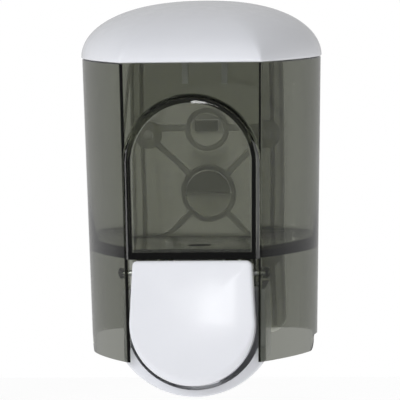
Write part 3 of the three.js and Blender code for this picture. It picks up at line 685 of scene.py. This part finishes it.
# The lever is built upright round its pivot, then tilted and moved into place.
LEVER_TILT = 0.1157  # radians
LEVER_FACE_Y, LEVER_TOP_Z, LEVER_FOOT_Z = -15.3, 5.9, -58.1
LEVER_HEAD_HALF, LEVER_HALF, LEVER_WALL, LEVER_BACK_Y = 30.5, 32.1, 2.4, -1.5
LEVER_DOME = 0.5  # how far the face's middle stands out
LEVER_EDGE_R, LEVER_FOOT_EDGE_R = 1.5, 3.6  # the second is added towards the foot
LEVER_BOSS_R, LEVER_BORE_R = 4.6, 1.8
NOSE_R, NOSE_HALF = 4, 6  # it pushes the plunger


def lever_outline(smaller=0.0, corner=2.6):
    """The lever from the front, anticlockwise.

    Its head has rounded corners, its sides splay a little and its foot is round."""
    corner_loss = 0.9  # of the corners' radius, for each millimetre of inset
    head, half, top = LEVER_HEAD_HALF - smaller, LEVER_HALF - smaller, LEVER_TOP_Z - smaller
    corner -= smaller * corner_loss
    centre = LEVER_FOOT_Z + LEVER_HALF
    reach = centre - top + corner
    splay = head - half
    outline = arc((head - corner, top - corner), corner, 0, 90, 10)
    outline += [(head * t, top) for t in (0.7, 0.35, 0, -0.35, -0.7)]
    outline += arc((-head + corner, top - corner), corner, 90, 180, 10)
    outline += [(-head + splay * t, top - corner + reach * t) for t in (0.25, 0.5, 0.75)]
    outline += arc((0, centre), half, 180, 360, 60)
    outline += [(half + splay * t, centre - reach * t) for t in (0.25, 0.5, 0.75)]
    return outline


def lever_skin():
    """The lever's outer shape, slightly domed. Its edge is rounder towards the foot."""
    outline = lever_outline()
    centre = LEVER_FOOT_Z + LEVER_HALF
    face_y = LEVER_FACE_Y + LEVER_DOME
    flatter = 0.85  # the edge's depth for each millimetre of its width
    growth = 1.3  # above 1, the edge's radius grows late on the way down

    def edge_radius(z):
        below = max(0.0, centre - z) / LEVER_HALF
        return LEVER_EDGE_R + LEVER_FOOT_EDGE_R * below**growth

    edges = [edge_radius(z) for x, z in outline]
    rings = [[(x, LEVER_BACK_Y, z) for x, z in outline]]
    for angle in (0, 15, 30, 45, 60, 75, 84):
        a = math.radians(angle)
        moved = inset(outline, [edge * (1 - math.cos(a)) for edge in edges])
        depths = [face_y + edge * flatter * (1 - math.sin(a)) for edge in edges]
        rings.append([(x, y, z) for (x, z), y in zip(moved, depths)])
    face = inset(outline, edges)
    middle_z = (LEVER_TOP_Z + LEVER_FOOT_Z) / 2
    levels = 18
    for i in range(levels):
        s = 1 - i / levels
        y = LEVER_FACE_Y + LEVER_DOME * s**2
        rings.append([(x * s, y, middle_z + (z - middle_z) * s) for x, z in face])
    return loft(rings)


def make_lever():
    shell = lever_skin()
    inside_y = LEVER_FACE_Y + LEVER_DOME + LEVER_WALL
    cut(shell, prism(lever_outline(LEVER_WALL), inside_y, 10, "y"))
    # The bosses for the rod end just inside the faces of the side walls.
    inner, outer = LEVER_HEAD_HALF - LEVER_WALL + 0.05, LEVER_HEAD_HALF - 0.02
    for side in (-1, 1):
        low, high = sorted((side * inner, side * outer))
        join(shell, bar("x", LEVER_BOSS_R, low, high, (0, 0), 48))

    # A round nose on a bracket pushes the plunger's head, and a rib stiffens the face.
    plunger_y = corners("plunger")[0].y
    tilt = Matrix.Rotation(LEVER_TILT, 2)
    nose = tilt @ Vector((plunger_y - GAP - NOSE_R - pivot.y, BORE_Z - pivot.z))
    root_y = inside_y - 0.5
    rib_half, rib_drop = 1, 12
    join(shell, block(-NOSE_HALF, NOSE_HALF, root_y, nose.x, nose.y - NOSE_R, nose.y + NOSE_R))
    join(shell, bar("x", NOSE_R, -NOSE_HALF, NOSE_HALF, (nose.x, nose.y), 40))
    rib_foot, rib_top = nose.y - rib_drop, LEVER_TOP_Z - OVER
    join(shell, block(-rib_half, rib_half, root_y, nose.x - OVER, rib_foot, rib_top))
    beyond = 50
    cut(shell, bar("x", LEVER_BORE_R, -beyond, beyond, (0, 0), 32))
    shell.data.transform(Matrix.Rotation(-LEVER_TILT, 4, "X"))
    shell.data.transform(Matrix.Translation(pivot * MM))
    finish_piece(shell, "lever_shell", "push_lever", sharp=32)


# ---------- lower housing ----------

HOUSING_TOP_Z, HOUSING_WALL, HOUSING_EDGE_R = -60, 2.2, 1.3
HOUSING_HALF, HOUSING_FOOT_R = 35.3, 44
WINDOW_R, WINDOW_Z = 35.2, -76.6  # the round opening behind the lever
OPEN_ABOVE_Z = -90  # above this, the front is open over its whole width
NOZZLE_HOLE_R, NOZZLE_HOLE_Y = 9.5, OUTLET_Y + 7
REAR_ROW_Y = -60  # the rear screws are behind this
TAB_REACH, TAB_HALF, TAB_HOLE_R = 34.3, 5, 1.9  # tabs for the screws up into the tank


def housing_outline(smaller, top_z):
    """The housing from the front, with straight sides and a round foot."""
    half, radius = HOUSING_HALF - smaller, HOUSING_FOOT_R - smaller
    angle = math.degrees(math.acos(half / radius))
    foot = arc((0, housing_low.z + HOUSING_FOOT_R), radius, 180 + angle, 360 - angle, 84)
    return [(half, top_z), (-half, top_z)] + foot


def make_housing():
    front, rear, top, wall = housing_low.y, housing_high.y, HOUSING_TOP_Z, HOUSING_WALL
    rings = []
    for angle in (90, 60, 30, 0):
        a = math.radians(angle)
        y = front + HOUSING_EDGE_R * (1 - math.sin(a))
        rings.append([(x, y, z) for x, z in housing_outline(HOUSING_EDGE_R * (1 - math.cos(a)), top)])
    rings.append([(x, rear, z) for x, z in housing_outline(0, top)])
    shell = loft(rings)
    cut(shell, prism(housing_outline(wall, top + PAST), front + wall, rear - wall, "y"))
    window = [(WINDOW_R, top + PAST), (-WINDOW_R, top + PAST)]
    window += arc((0, WINDOW_Z), WINDOW_R, 180, 360, 84)
    cut(shell, prism(window, front - PAST, front + wall + OVER, "y"))
    cut(shell, block(-40, 40, front - PAST, front + wall + OVER, OPEN_ABOVE_Z, top + PAST))
    cut(shell, bar("z", NOZZLE_HOLE_R, -130, -100, (0, NOZZLE_HOLE_Y), 56))
    for x, y in SCREWS:
        side = math.copysign(1, x)
        low, high = sorted((x - side * TAB_HALF, side * TAB_REACH))
        tab_rear = rear - OVER if y > REAR_ROW_Y else y + TAB_HALF
        join(shell, block(low, high, y - TAB_HALF, tab_rear, top - wall, top))
        cut(shell, bar("z", TAB_HOLE_R, -70, top + PAST, (x, y), 24))

    # The housing stays clear of the skirt's walls.
    clear = WALL + 0.4
    under_skirt = SKIRT_FRONT_Z - GAP
    room = loft([drafted(inset(SHARP, clear), z) for z in (under_skirt - 0.05, FLOOR_Z)])
    join(room, block(-60, 60, front - OVER, 0, -130, under_skirt))
    combine(shell, room, "INTERSECT")
    finish_piece(shell, "housing_shell", "lower_housing")


# ---------- back plate ----------

PLATE_CORNER_R, PLATE_WALL = 9, 2.2
WEB_FRONT_Y, WEB_REAR_Y = -4.4, -2.2
POCKET_WALL, POCKET_SKIN = 2, 1.2  # round the pockets of the tank's keys, and towards the wall
HOLE_RIM = 2.5
SLOT_RING_INNER, SLOT_RING_OUTER, SLOT_RING_DROP = 9.1, 11.8, 2.3
LONG_RIB_X, LONG_RIB_WIDTH = 34.8, 2
CROSS_RIB_INNER, CROSS_RIB_OUTER, CROSS_RIB_WIDTH, CROSS_RIB_DROP = 10.8, 30.7, 3.5, 1.3
DIAGONAL_RIB_WIDTH, DIAGONAL_RIB_START_R = 3, HOLE_R + 1.6
PAD_HALF, PAD_LOW_Z, PAD_HIGH_Z = 10, -2.9, 3.5  # a thicker place behind the web
BOSS_R, BOSS_HOLE_R, BOSS_DIMPLE_R, BOSS_DIMPLE_DEPTH = 7.5, 2.4, 2.6, 0.3
BOSSES = [(side * 31.8, z) for side in (-1, 1) for z in (RIM_Z - 42.3, RIM_Z - 106.3)]
STEP = 0.02  # the fronts of ribs that cross differ by this, so that no two faces lie in one plane


def plate_outline(smaller):
    """The plate from the front, with round corners."""
    half, top, foot = plate_high.x - smaller, plate_high.z - smaller, plate_low.z + smaller
    corner = PLATE_CORNER_R - smaller
    lower, upper = foot + corner, top - corner
    points = []
    for turn, (side, z) in enumerate(((1, lower), (1, upper), (-1, upper), (-1, lower))):
        points += arc((side * (half - corner), z), corner, 90 * turn - 90, 90 * turn, 12)
    return points


def rib(start, end, width, y0):
    """A straight rib on the web with drafted sides and softened edges, between two points in X and Z."""
    root_spread, edge = 0.3, 0.35
    start, end = Vector(start), Vector(end)
    along = (end - start).normalized()
    across = Vector((-along.y, along.x))
    root = (width / 2 + root_spread, WEB_FRONT_Y + root_spread)
    rings = []
    for half, y in (root, (width / 2, y0 + edge), (width / 2 - edge, y0)):
        outline = (start - across * half, end - across * half, end + across * half, start + across * half)
        rings.append([(corner.x, y, corner.y) for corner in outline])
    return loft(rings)


def ring_rib(inner, outer, centre_z, y0):
    """A round rib on the web with drafted sides."""
    depth, spread = 0.3, 0.2
    root = WEB_FRONT_Y + depth
    profile = [(inner - spread, root), (inner, y0), (outer, y0), (outer + spread, root)]
    return turned(profile, "y", (0, centre_z), 0.4, 84)


def plate_tray():
    """The plate's rim and web, open to both sides, its front edge softened."""
    front = plate_low.y
    edge, bevel = 0.7, 0.2
    rows = ((0, 0), (0, front + edge), (bevel, front + bevel), (edge, front))
    plate = loft([[(x, y, z) for x, z in plate_outline(smaller)] for smaller, y in rows])
    cut(plate, prism(plate_outline(PLATE_WALL), front - OVER, WEB_FRONT_Y, "y"))
    cut(plate, prism(plate_outline(PLATE_WALL), WEB_REAR_Y, OVER, "y"))
    return plate


def add_boss(plate, x, z):
    """A boss for a wall screw, with a rib to the half-moon's ring, a hole and a dimple."""
    front, centre = plate_low.y, (x, z)
    start = DIAGONAL_RIB_START_R * math.sqrt(0.5)
    foot = (math.copysign(start, x), HOLE_Z + math.copysign(start, z - HOLE_Z))
    join(plate, rib(foot, centre, DIAGONAL_RIB_WIDTH, front + 3 * STEP))
    boss_front = front + STEP / 2
    boss = [(0, 0), (BOSS_R, 0), (BOSS_R, boss_front), (0, boss_front)]
    join(plate, turned(boss, "y", centre, 0.6, 48))
    cut(plate, bar("y", BOSS_HOLE_R, front + OVER, OVER, centre, 42))
    above, floor = front - OVER, front + BOSS_DIMPLE_DEPTH
    dimple = [(0, above), (BOSS_DIMPLE_R, above), (BOSS_DIMPLE_R, floor), (0, floor)]
    cut(plate, turned(dimple, "y", centre, 0.3, 40))


def make_plate():
    front = plate_low.y
    plate = plate_tray()
    slot_x, slot_z = SLOT_HALF
    wall_x, wall_z = slot_x + POCKET_WALL, slot_z + POCKET_WALL
    behind = WEB_REAR_Y - OVER
    join(
        plate,
        block(-PAD_HALF, PAD_HALF, behind, 0, PAD_LOW_Z, PAD_HIGH_Z),
        block(-wall_x, wall_x, behind, 0, SLOT_Z - wall_z, SLOT_Z + wall_z),
        bar("y", HOLE_R + HOLE_RIM, behind, 0, (0, HOLE_Z), 72),
        ring_rib(SLOT_RING_INNER, SLOT_RING_OUTER, SLOT_Z - SLOT_RING_DROP, front),
        ring_rib(HOLE_R, HOLE_R + HOLE_RIM, HOLE_Z, front),
    )
    cross_z = SLOT_Z - CROSS_RIB_DROP
    for side in (-1, 1):
        x, inner, outer = side * LONG_RIB_X, side * CROSS_RIB_INNER, side * CROSS_RIB_OUTER
        long_ends = (x, plate_low.z + OVER), (x, plate_high.z - OVER)
        join(plate, rib(*long_ends, LONG_RIB_WIDTH, front + STEP))
        join(plate, rib((inner, cross_z), (outer, cross_z), CROSS_RIB_WIDTH, front + 2 * STEP))
    for x, z in BOSSES:
        add_boss(plate, x, z)
    cut(plate, block(-slot_x, slot_x, front - OVER, -POCKET_SKIN, SLOT_Z - slot_z, SLOT_Z + slot_z))
    cut(plate, half_disc(HOLE_R, front - OVER, -POCKET_SKIN))
    finish_piece(plate, "plate_body", "back_plate", look="plate_plastic")


# ---------- pump ----------

FLANGE_R, FLANGE_HOLE_R, FLANGE_Z, FLANGE_FOOT_Z = 13, 1.8, -50.6, -53.6
COLLAR_R, COLLAR_BORE_R = 12.4, 10  # round the tank's outlet
NECK_R, NECK_BORE_R = 7.5, 5
VALVE_SEAT_Z, VALVE_SEAT_FOOT_Z = -61, -62.6
VALVE_STEM_R, PORT_R, PORT_CIRCLE_R = 1.1, 0.8, 3
CYLINDER_R, CYLINDER_BORE_R = 10.2, 8.2
CYLINDER_FRONT_Y, CYLINDER_REAR_Y, CYLINDER_BORE_END_Y = -84, -51.5, -54
EAR_HALF = 4.5  # the flange's ears for its screws
PASSAGE = 4  # the neck and the spout open into the cylinder this far off its axis
SPOUT_R, SPOUT_BORE_R = 5.5, 3.2
PISTON_R, STEM_R, GROOVE_R = 7.6, 4, 6
PISTON_Y, GROOVE_START_Y, GROOVE_END_Y = -77, -75.4, -73.2
SEAL_R, SEAL_WIRE_R = 7.1, 0.8
DUCKBILL_RIM_Z = -103.3
PUMP_OUTLET = (0, OUTLET_Y)
SPOUT = (0, SPOUT_Y)


def make_pump_body():
    low, high = corners("pump_body")
    bore = (0, BORE_Z)
    body = bar("z", FLANGE_R, FLANGE_FOOT_Z, FLANGE_Z, PUMP_OUTLET, 72)
    front, rear = CYLINDER_FRONT_Y, CYLINDER_REAR_Y
    cylinder = [(0, front), (CYLINDER_R, front), (CYLINDER_R, rear), (0, rear)]
    join(
        body,
        block(low.x, high.x, OUTLET_Y - EAR_HALF, OUTLET_Y + EAR_HALF, FLANGE_FOOT_Z, FLANGE_Z),
        bar("z", COLLAR_R, FLANGE_Z - OVER, high.z, PUMP_OUTLET, 72),
        bar("z", NECK_R, BORE_Z + 6, FLANGE_FOOT_Z + 0.6, PUMP_OUTLET, 64),
        turned(cylinder, "y", bore, 0.8, 72),
        bar("z", SPOUT_R, low.z, BORE_Z - PASSAGE, SPOUT, 56),
    )
    seat_low, seat_high = VALVE_SEAT_Z - 3, VALVE_SEAT_Z + OVER
    ports = arc(PUMP_OUTLET, PORT_CIRCLE_R, 0, 300, 5)
    screws = [(x, OUTLET_Y) for x in (-PUMP_SCREW_X, PUMP_SCREW_X)]
    cut(
        body,
        bar("z", COLLAR_BORE_R, FLANGE_FOOT_Z + 0.7, high.z + OVER, PUMP_OUTLET, 72),
        bar("z", NECK_BORE_R, VALVE_SEAT_Z, FLANGE_FOOT_Z + OVER, PUMP_OUTLET, 56),
        bar("z", NECK_BORE_R, BORE_Z + PASSAGE, VALVE_SEAT_FOOT_Z, PUMP_OUTLET, 56),
        bar("z", VALVE_STEM_R, seat_low, seat_high, PUMP_OUTLET, 24),
        bar("y", CYLINDER_BORE_R, CYLINDER_FRONT_Y - OVER, CYLINDER_BORE_END_Y, bore, 72),
        bar("z", SPOUT_BORE_R, low.z - OVER, BORE_Z - PASSAGE, SPOUT, 48),
        *(bar("z", PORT_R, seat_low, seat_high, port, 16) for port in ports),
        *(bar("z", FLANGE_HOLE_R, FLANGE_FOOT_Z - OVER, FLANGE_Z + OVER, screw, 24) for screw in screws),
    )
    finish_piece(body, "pump_casting", "pump_body")


def make_cylinder_parts():
    """What is in the cylinder: the plunger, its bush and its seal."""
    bore = (0, BORE_Z)
    low, high = corners("plunger")
    head_r, head_rear = 7.5, low.y + 2
    profile = [(0, low.y), (head_r, low.y), (head_r, head_rear), (STEM_R, head_rear), (STEM_R, PISTON_Y)]
    profile += [(PISTON_R, PISTON_Y), (PISTON_R, GROOVE_START_Y), (GROOVE_R, GROOVE_START_Y)]
    profile += [(GROOVE_R, GROOVE_END_Y), (PISTON_R, GROOVE_END_Y), (PISTON_R, high.y), (0, high.y)]
    finish_piece(turned(profile, "y", bore), "plunger_body", "plunger")

    low, high = corners("cylinder_bush")
    inner, tube, flange, flange_rear = 4.3, 7.9, CYLINDER_R, CYLINDER_FRONT_Y - GAP
    profile = [(inner, low.y), (flange, low.y), (flange, flange_rear), (tube, flange_rear)]
    profile += [(tube, high.y), (inner, high.y)]
    finish_piece(turned(profile, "y", bore), "bush_ring", "cylinder_bush")

    seal = arc((SEAL_R, middle("piston_seal").y), SEAL_WIRE_R, 0, 360, 16)[:-1]
    finish_piece(turned(seal, "y", bore, 0.01), "seal_ring", "piston_seal")


def make_valves():
    low, high = corners("outlet_gasket")
    inner, outer = 6.8, 9.4
    profile = [(inner, low.z), (outer, low.z), (outer, high.z), (inner, high.z)]
    finish_piece(turned(profile, "z", PUMP_OUTLET, 0.35), "gasket_ring", "outlet_gasket")

    # The umbrella valve: its cap under the seat, its stem through it and its knob on top.
    profile = [(0, -65), (2.5, -64.7), (4.3, -63.6), (4.3, -63), (0.8, -62.9), (0.8, -60.7), (1.7, -60.6)]
    profile += [(1.2, -58.6), (0, -58.2)]
    finish_piece(turned(profile, "z", PUMP_OUTLET), "umbrella", "inlet_valve")

    # The duckbill: a rim held by the nozzle, and lips that narrow downwards.
    rim = DUCKBILL_RIM_Z
    profile = [(2.6, rim), (2.6, -105), (0.5, -110), (1.2, -110), (3.6, -104.8), (5.4, -104.5), (5.4, rim)]
    finish_piece(turned(profile, "z", SPOUT), "duckbill", "outlet_valve")


def make_nozzle():
    low, high = corners("nozzle")
    profile = [(5.9, high.z), (5.9, -104.8), (4.4, -104.9), (3.6, low.z)]
    profile += [(5.4, low.z), (7.6, -105.5), (7.6, high.z)]
    cap = turned(profile, "z", SPOUT, 0.35)
    # Fine grip grooves round the cap.
    circle, groove_r, foot = 7.63625, 0.35, low.z + 8.2
    for place in arc(SPOUT, circle, 0, 337.5, 15):
        cut(cap, bar("z", groove_r, foot, high.z - OVER, place, 12))
    finish_piece(cap, "nozzle_cap", "nozzle")


def make_spring():
    """Round wire in four and a half turns, the end turns closed flat."""
    low, high = corners("return_spring")
    wire, radius, turns, stroke = 0.42, 5.6, 4.5, 6.2
    steps, sides = 200, 10
    flat, rising = 0.09, 0.82  # shares of the wire: each flat end, and the rise between them
    start, end = low.y + wire, high.y - wire
    along = Vector((0, 1, 0))
    rings = []
    for i in range(steps + 1):
        t = i / steps
        eased = min(1.0, max(0.0, (t - flat) / rising))
        angle = 2 * math.pi * turns * t
        outwards = Vector((math.cos(angle), 0, math.sin(angle)))
        centre = outwards * radius + Vector((0, start + (end - start) * eased, BORE_Z))
        section = (2 * math.pi * k / sides for k in range(sides))
        rings.append([centre + wire * (math.cos(b) * outwards + math.sin(b) * along) for b in section])
    spring = finish_piece(loft(rings), "spring_wire", "return_spring", sharp=60)
    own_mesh(spring)


# ---------- rod and screws ----------


def make_rod():
    low, high = corners("hinge_rod")
    radius = 1.5
    profile = [(0, low.x), (radius, low.x), (radius, high.x), (0, high.x)]
    rod = turned(profile, "x", (pivot.y, pivot.z), 0.3, 40)
    finish_piece(rod, "rod", "hinge_rod")


def make_screw(node, head, head_height, shank):
    """A cross-head screw that points up: a pan head, a threaded shank and a tip."""
    low, high = corners(node)
    x, y = middle(node).xy
    under = low.z + head_height
    profile = [(0, low.z), (head * 0.55, low.z), (head * 0.9, low.z + head_height * 0.3)]
    profile += [(head, under - 0.4), (head, under), (shank * 0.85, under)]
    pitch, rise, core = 0.8, 0.3, shank * 0.72
    z = under + 0.5
    while z < high.z - 2 * pitch:
        profile += [(core, z), (shank, z + rise), (core, z + 2 * rise)]
        z += pitch
    profile += [(shank * 0.5, high.z - 0.8), (0, high.z)]
    screw = turned(profile, "z", (x, y), 0.12, 40)
    arm, half, deep = head * 0.55, 0.4, low.z + head_height * 0.55
    cut(screw, block(x - arm, x + arm, y - half, y + half, low.z - OVER, deep))
    cut(screw, block(x - half, x + half, y - arm, y + arm, low.z - OVER, deep))
    finish_piece(screw, node + "_steel", node)


def make_fasteners():
    make_rod()
    for i in (1, 2, 3, 4):
        make_screw(f"housing_screw_{i}", head=3.4, head_height=2, shank=1.5)
    for side in ("left", "right"):
        make_screw(f"pump_screw_{side}", head=3, head_height=1.8, shank=1.3)


make_tank()
make_lid()
make_lever()
make_housing()
make_plate()
make_pump_body()
make_cylinder_parts()
make_valves()
make_nozzle()
make_spring()
make_fasteners()

# ---------- studio ----------

# How bright the room is as the object sees it. The camera sees pure white round the object.
ROOM_BACK = 0.53
ROOM_FRONT = 0.20
ROOM_TOP = 0.40
GLOW_BEHIND = 0.35  # screen behind the object, which lights its back but is not mirrored in it
GLOW_INSIDE = 0.95  # light from the front that reaches the inside through the smoke-grey walls
AIM = Vector((0, -0.06, -0.02))  # where the lamps point
FLOOR_HALF, FLOOR_HEIGHT, FLOOR_GLOW = 6.5, -0.90, 0.62


def make_world():
    """The room's light, by direction and by the kind of ray that asks for it."""
    world = bpy.data.worlds.new("studio")
    world.use_nodes = True
    tree = world.node_tree

    def math_node(operation, first, second):
        node = tree.nodes.new("ShaderNodeMath")
        node.operation = operation
        for value, socket in zip((first, second), node.inputs):
            if isinstance(value, (int, float)):
                socket.default_value = value
            else:
                tree.links.new(value, socket)
        return node.outputs[0]

    coordinates = tree.nodes.new("ShaderNodeTexCoord")
    direction = tree.nodes.new("ShaderNodeSeparateXYZ")
    tree.links.new(coordinates.outputs["Generated"], direction.inputs["Vector"])
    backwards, upwards = direction.outputs["Y"], direction.outputs["Z"]
    forwards = math_node("MULTIPLY", backwards, -1.0)
    path = tree.nodes.new("ShaderNodeLightPath")
    through = path.outputs["Is Transmission Ray"]
    mirrored = math_node("MAXIMUM", path.outputs["Is Glossy Ray"], through)
    behind = ramp(tree, backwards, 0.0, 1.0, start=0.5, end=0.8)
    ahead = ramp(tree, forwards, 0.0, 1.0, start=0.1, end=0.5)
    screen = math_node("MULTIPLY", behind, GLOW_BEHIND)
    inside = math_node("MULTIPLY", ahead, GLOW_INSIDE)
    layers = (
        ramp(tree, upwards, 0.0, ROOM_TOP, start=0.2, end=0.8),
        math_node("MULTIPLY", screen, math_node("SUBTRACT", 1.0, mirrored)),
        math_node("MULTIPLY", inside, through),
        path.outputs["Is Camera Ray"],
    )
    room = ramp(tree, backwards, ROOM_FRONT, ROOM_BACK, start=0.0, end=0.6)
    for layer in layers:
        lighter = tree.nodes.new("ShaderNodeMix")
        lighter.data_type = "RGBA"
        lighter.blend_type = "LIGHTEN"
        lighter.inputs["Factor"].default_value = 1.0
        tree.links.new(room, lighter.inputs["A"])
        tree.links.new(layer, lighter.inputs["B"])
        room = lighter.outputs["Result"]
    tree.links.new(room, tree.nodes["Background"].inputs["Color"])
    bpy.context.scene.world = world


def area_light(name, place, power, size, colour=(1, 1, 1), mirrored=False):
    """A lamp that the camera doesn't see. Only a mirrored one shows as a highlight."""
    data = bpy.data.lights.new(name, "AREA")
    data.shape = "RECTANGLE"
    data.size, data.size_y = size
    data.energy = power
    data.color = colour
    light = bpy.data.objects.new(name, data)
    light.visible_camera = False
    light.visible_glossy = mirrored
    light.visible_transmission = not mirrored
    light.location = place
    light.rotation_euler = (AIM - Vector(place)).to_track_quat("-Z", "Y").to_euler()
    bpy.context.scene.collection.objects.link(light)


def make_floor():
    """A plain pale floor far under the part, bright enough to run into the white behind it."""
    half, z = FLOOR_HALF, FLOOR_HEIGHT
    mesh = bpy.data.meshes.new("floor")
    square = [(-half, -half, z), (half, -half, z), (half, half, z), (-half, half, z)]
    mesh.from_pydata(square, [], [(0, 1, 2, 3)])
    floor = bpy.data.objects.new("floor", mesh)
    bpy.context.scene.collection.objects.link(floor)
    material, tree, shader = new_material("pale_floor")
    tree.links.new(ramp(tree, noise(tree, scale=3, detail=3), 0.9, 0.93), shader.inputs["Base Color"])
    shader.inputs["Roughness"].default_value = 0.9
    shader.inputs["Emission Color"].default_value = (1, 1, 1, 1)
    shader.inputs["Emission Strength"].default_value = FLOOR_GLOW
    mesh.materials.append(material)
    floor.visible_glossy = floor.visible_transmission = False


make_world()
area_light("key", (-0.95, -1.25, 0.80), power=16.0, size=(1.0, 1.0), colour=(0.97, 0.98, 1.0))
area_light("fill", (0.95, -1.3, 0.45), power=3.0, size=(1.0, 1.0))
area_light("softbox", (-0.083, -1.689, 0.172), power=0.4, size=(0.11, 0.11), mirrored=True)
make_floor()
make_camera()
bpy.context.scene.view_settings.view_transform = "Standard"
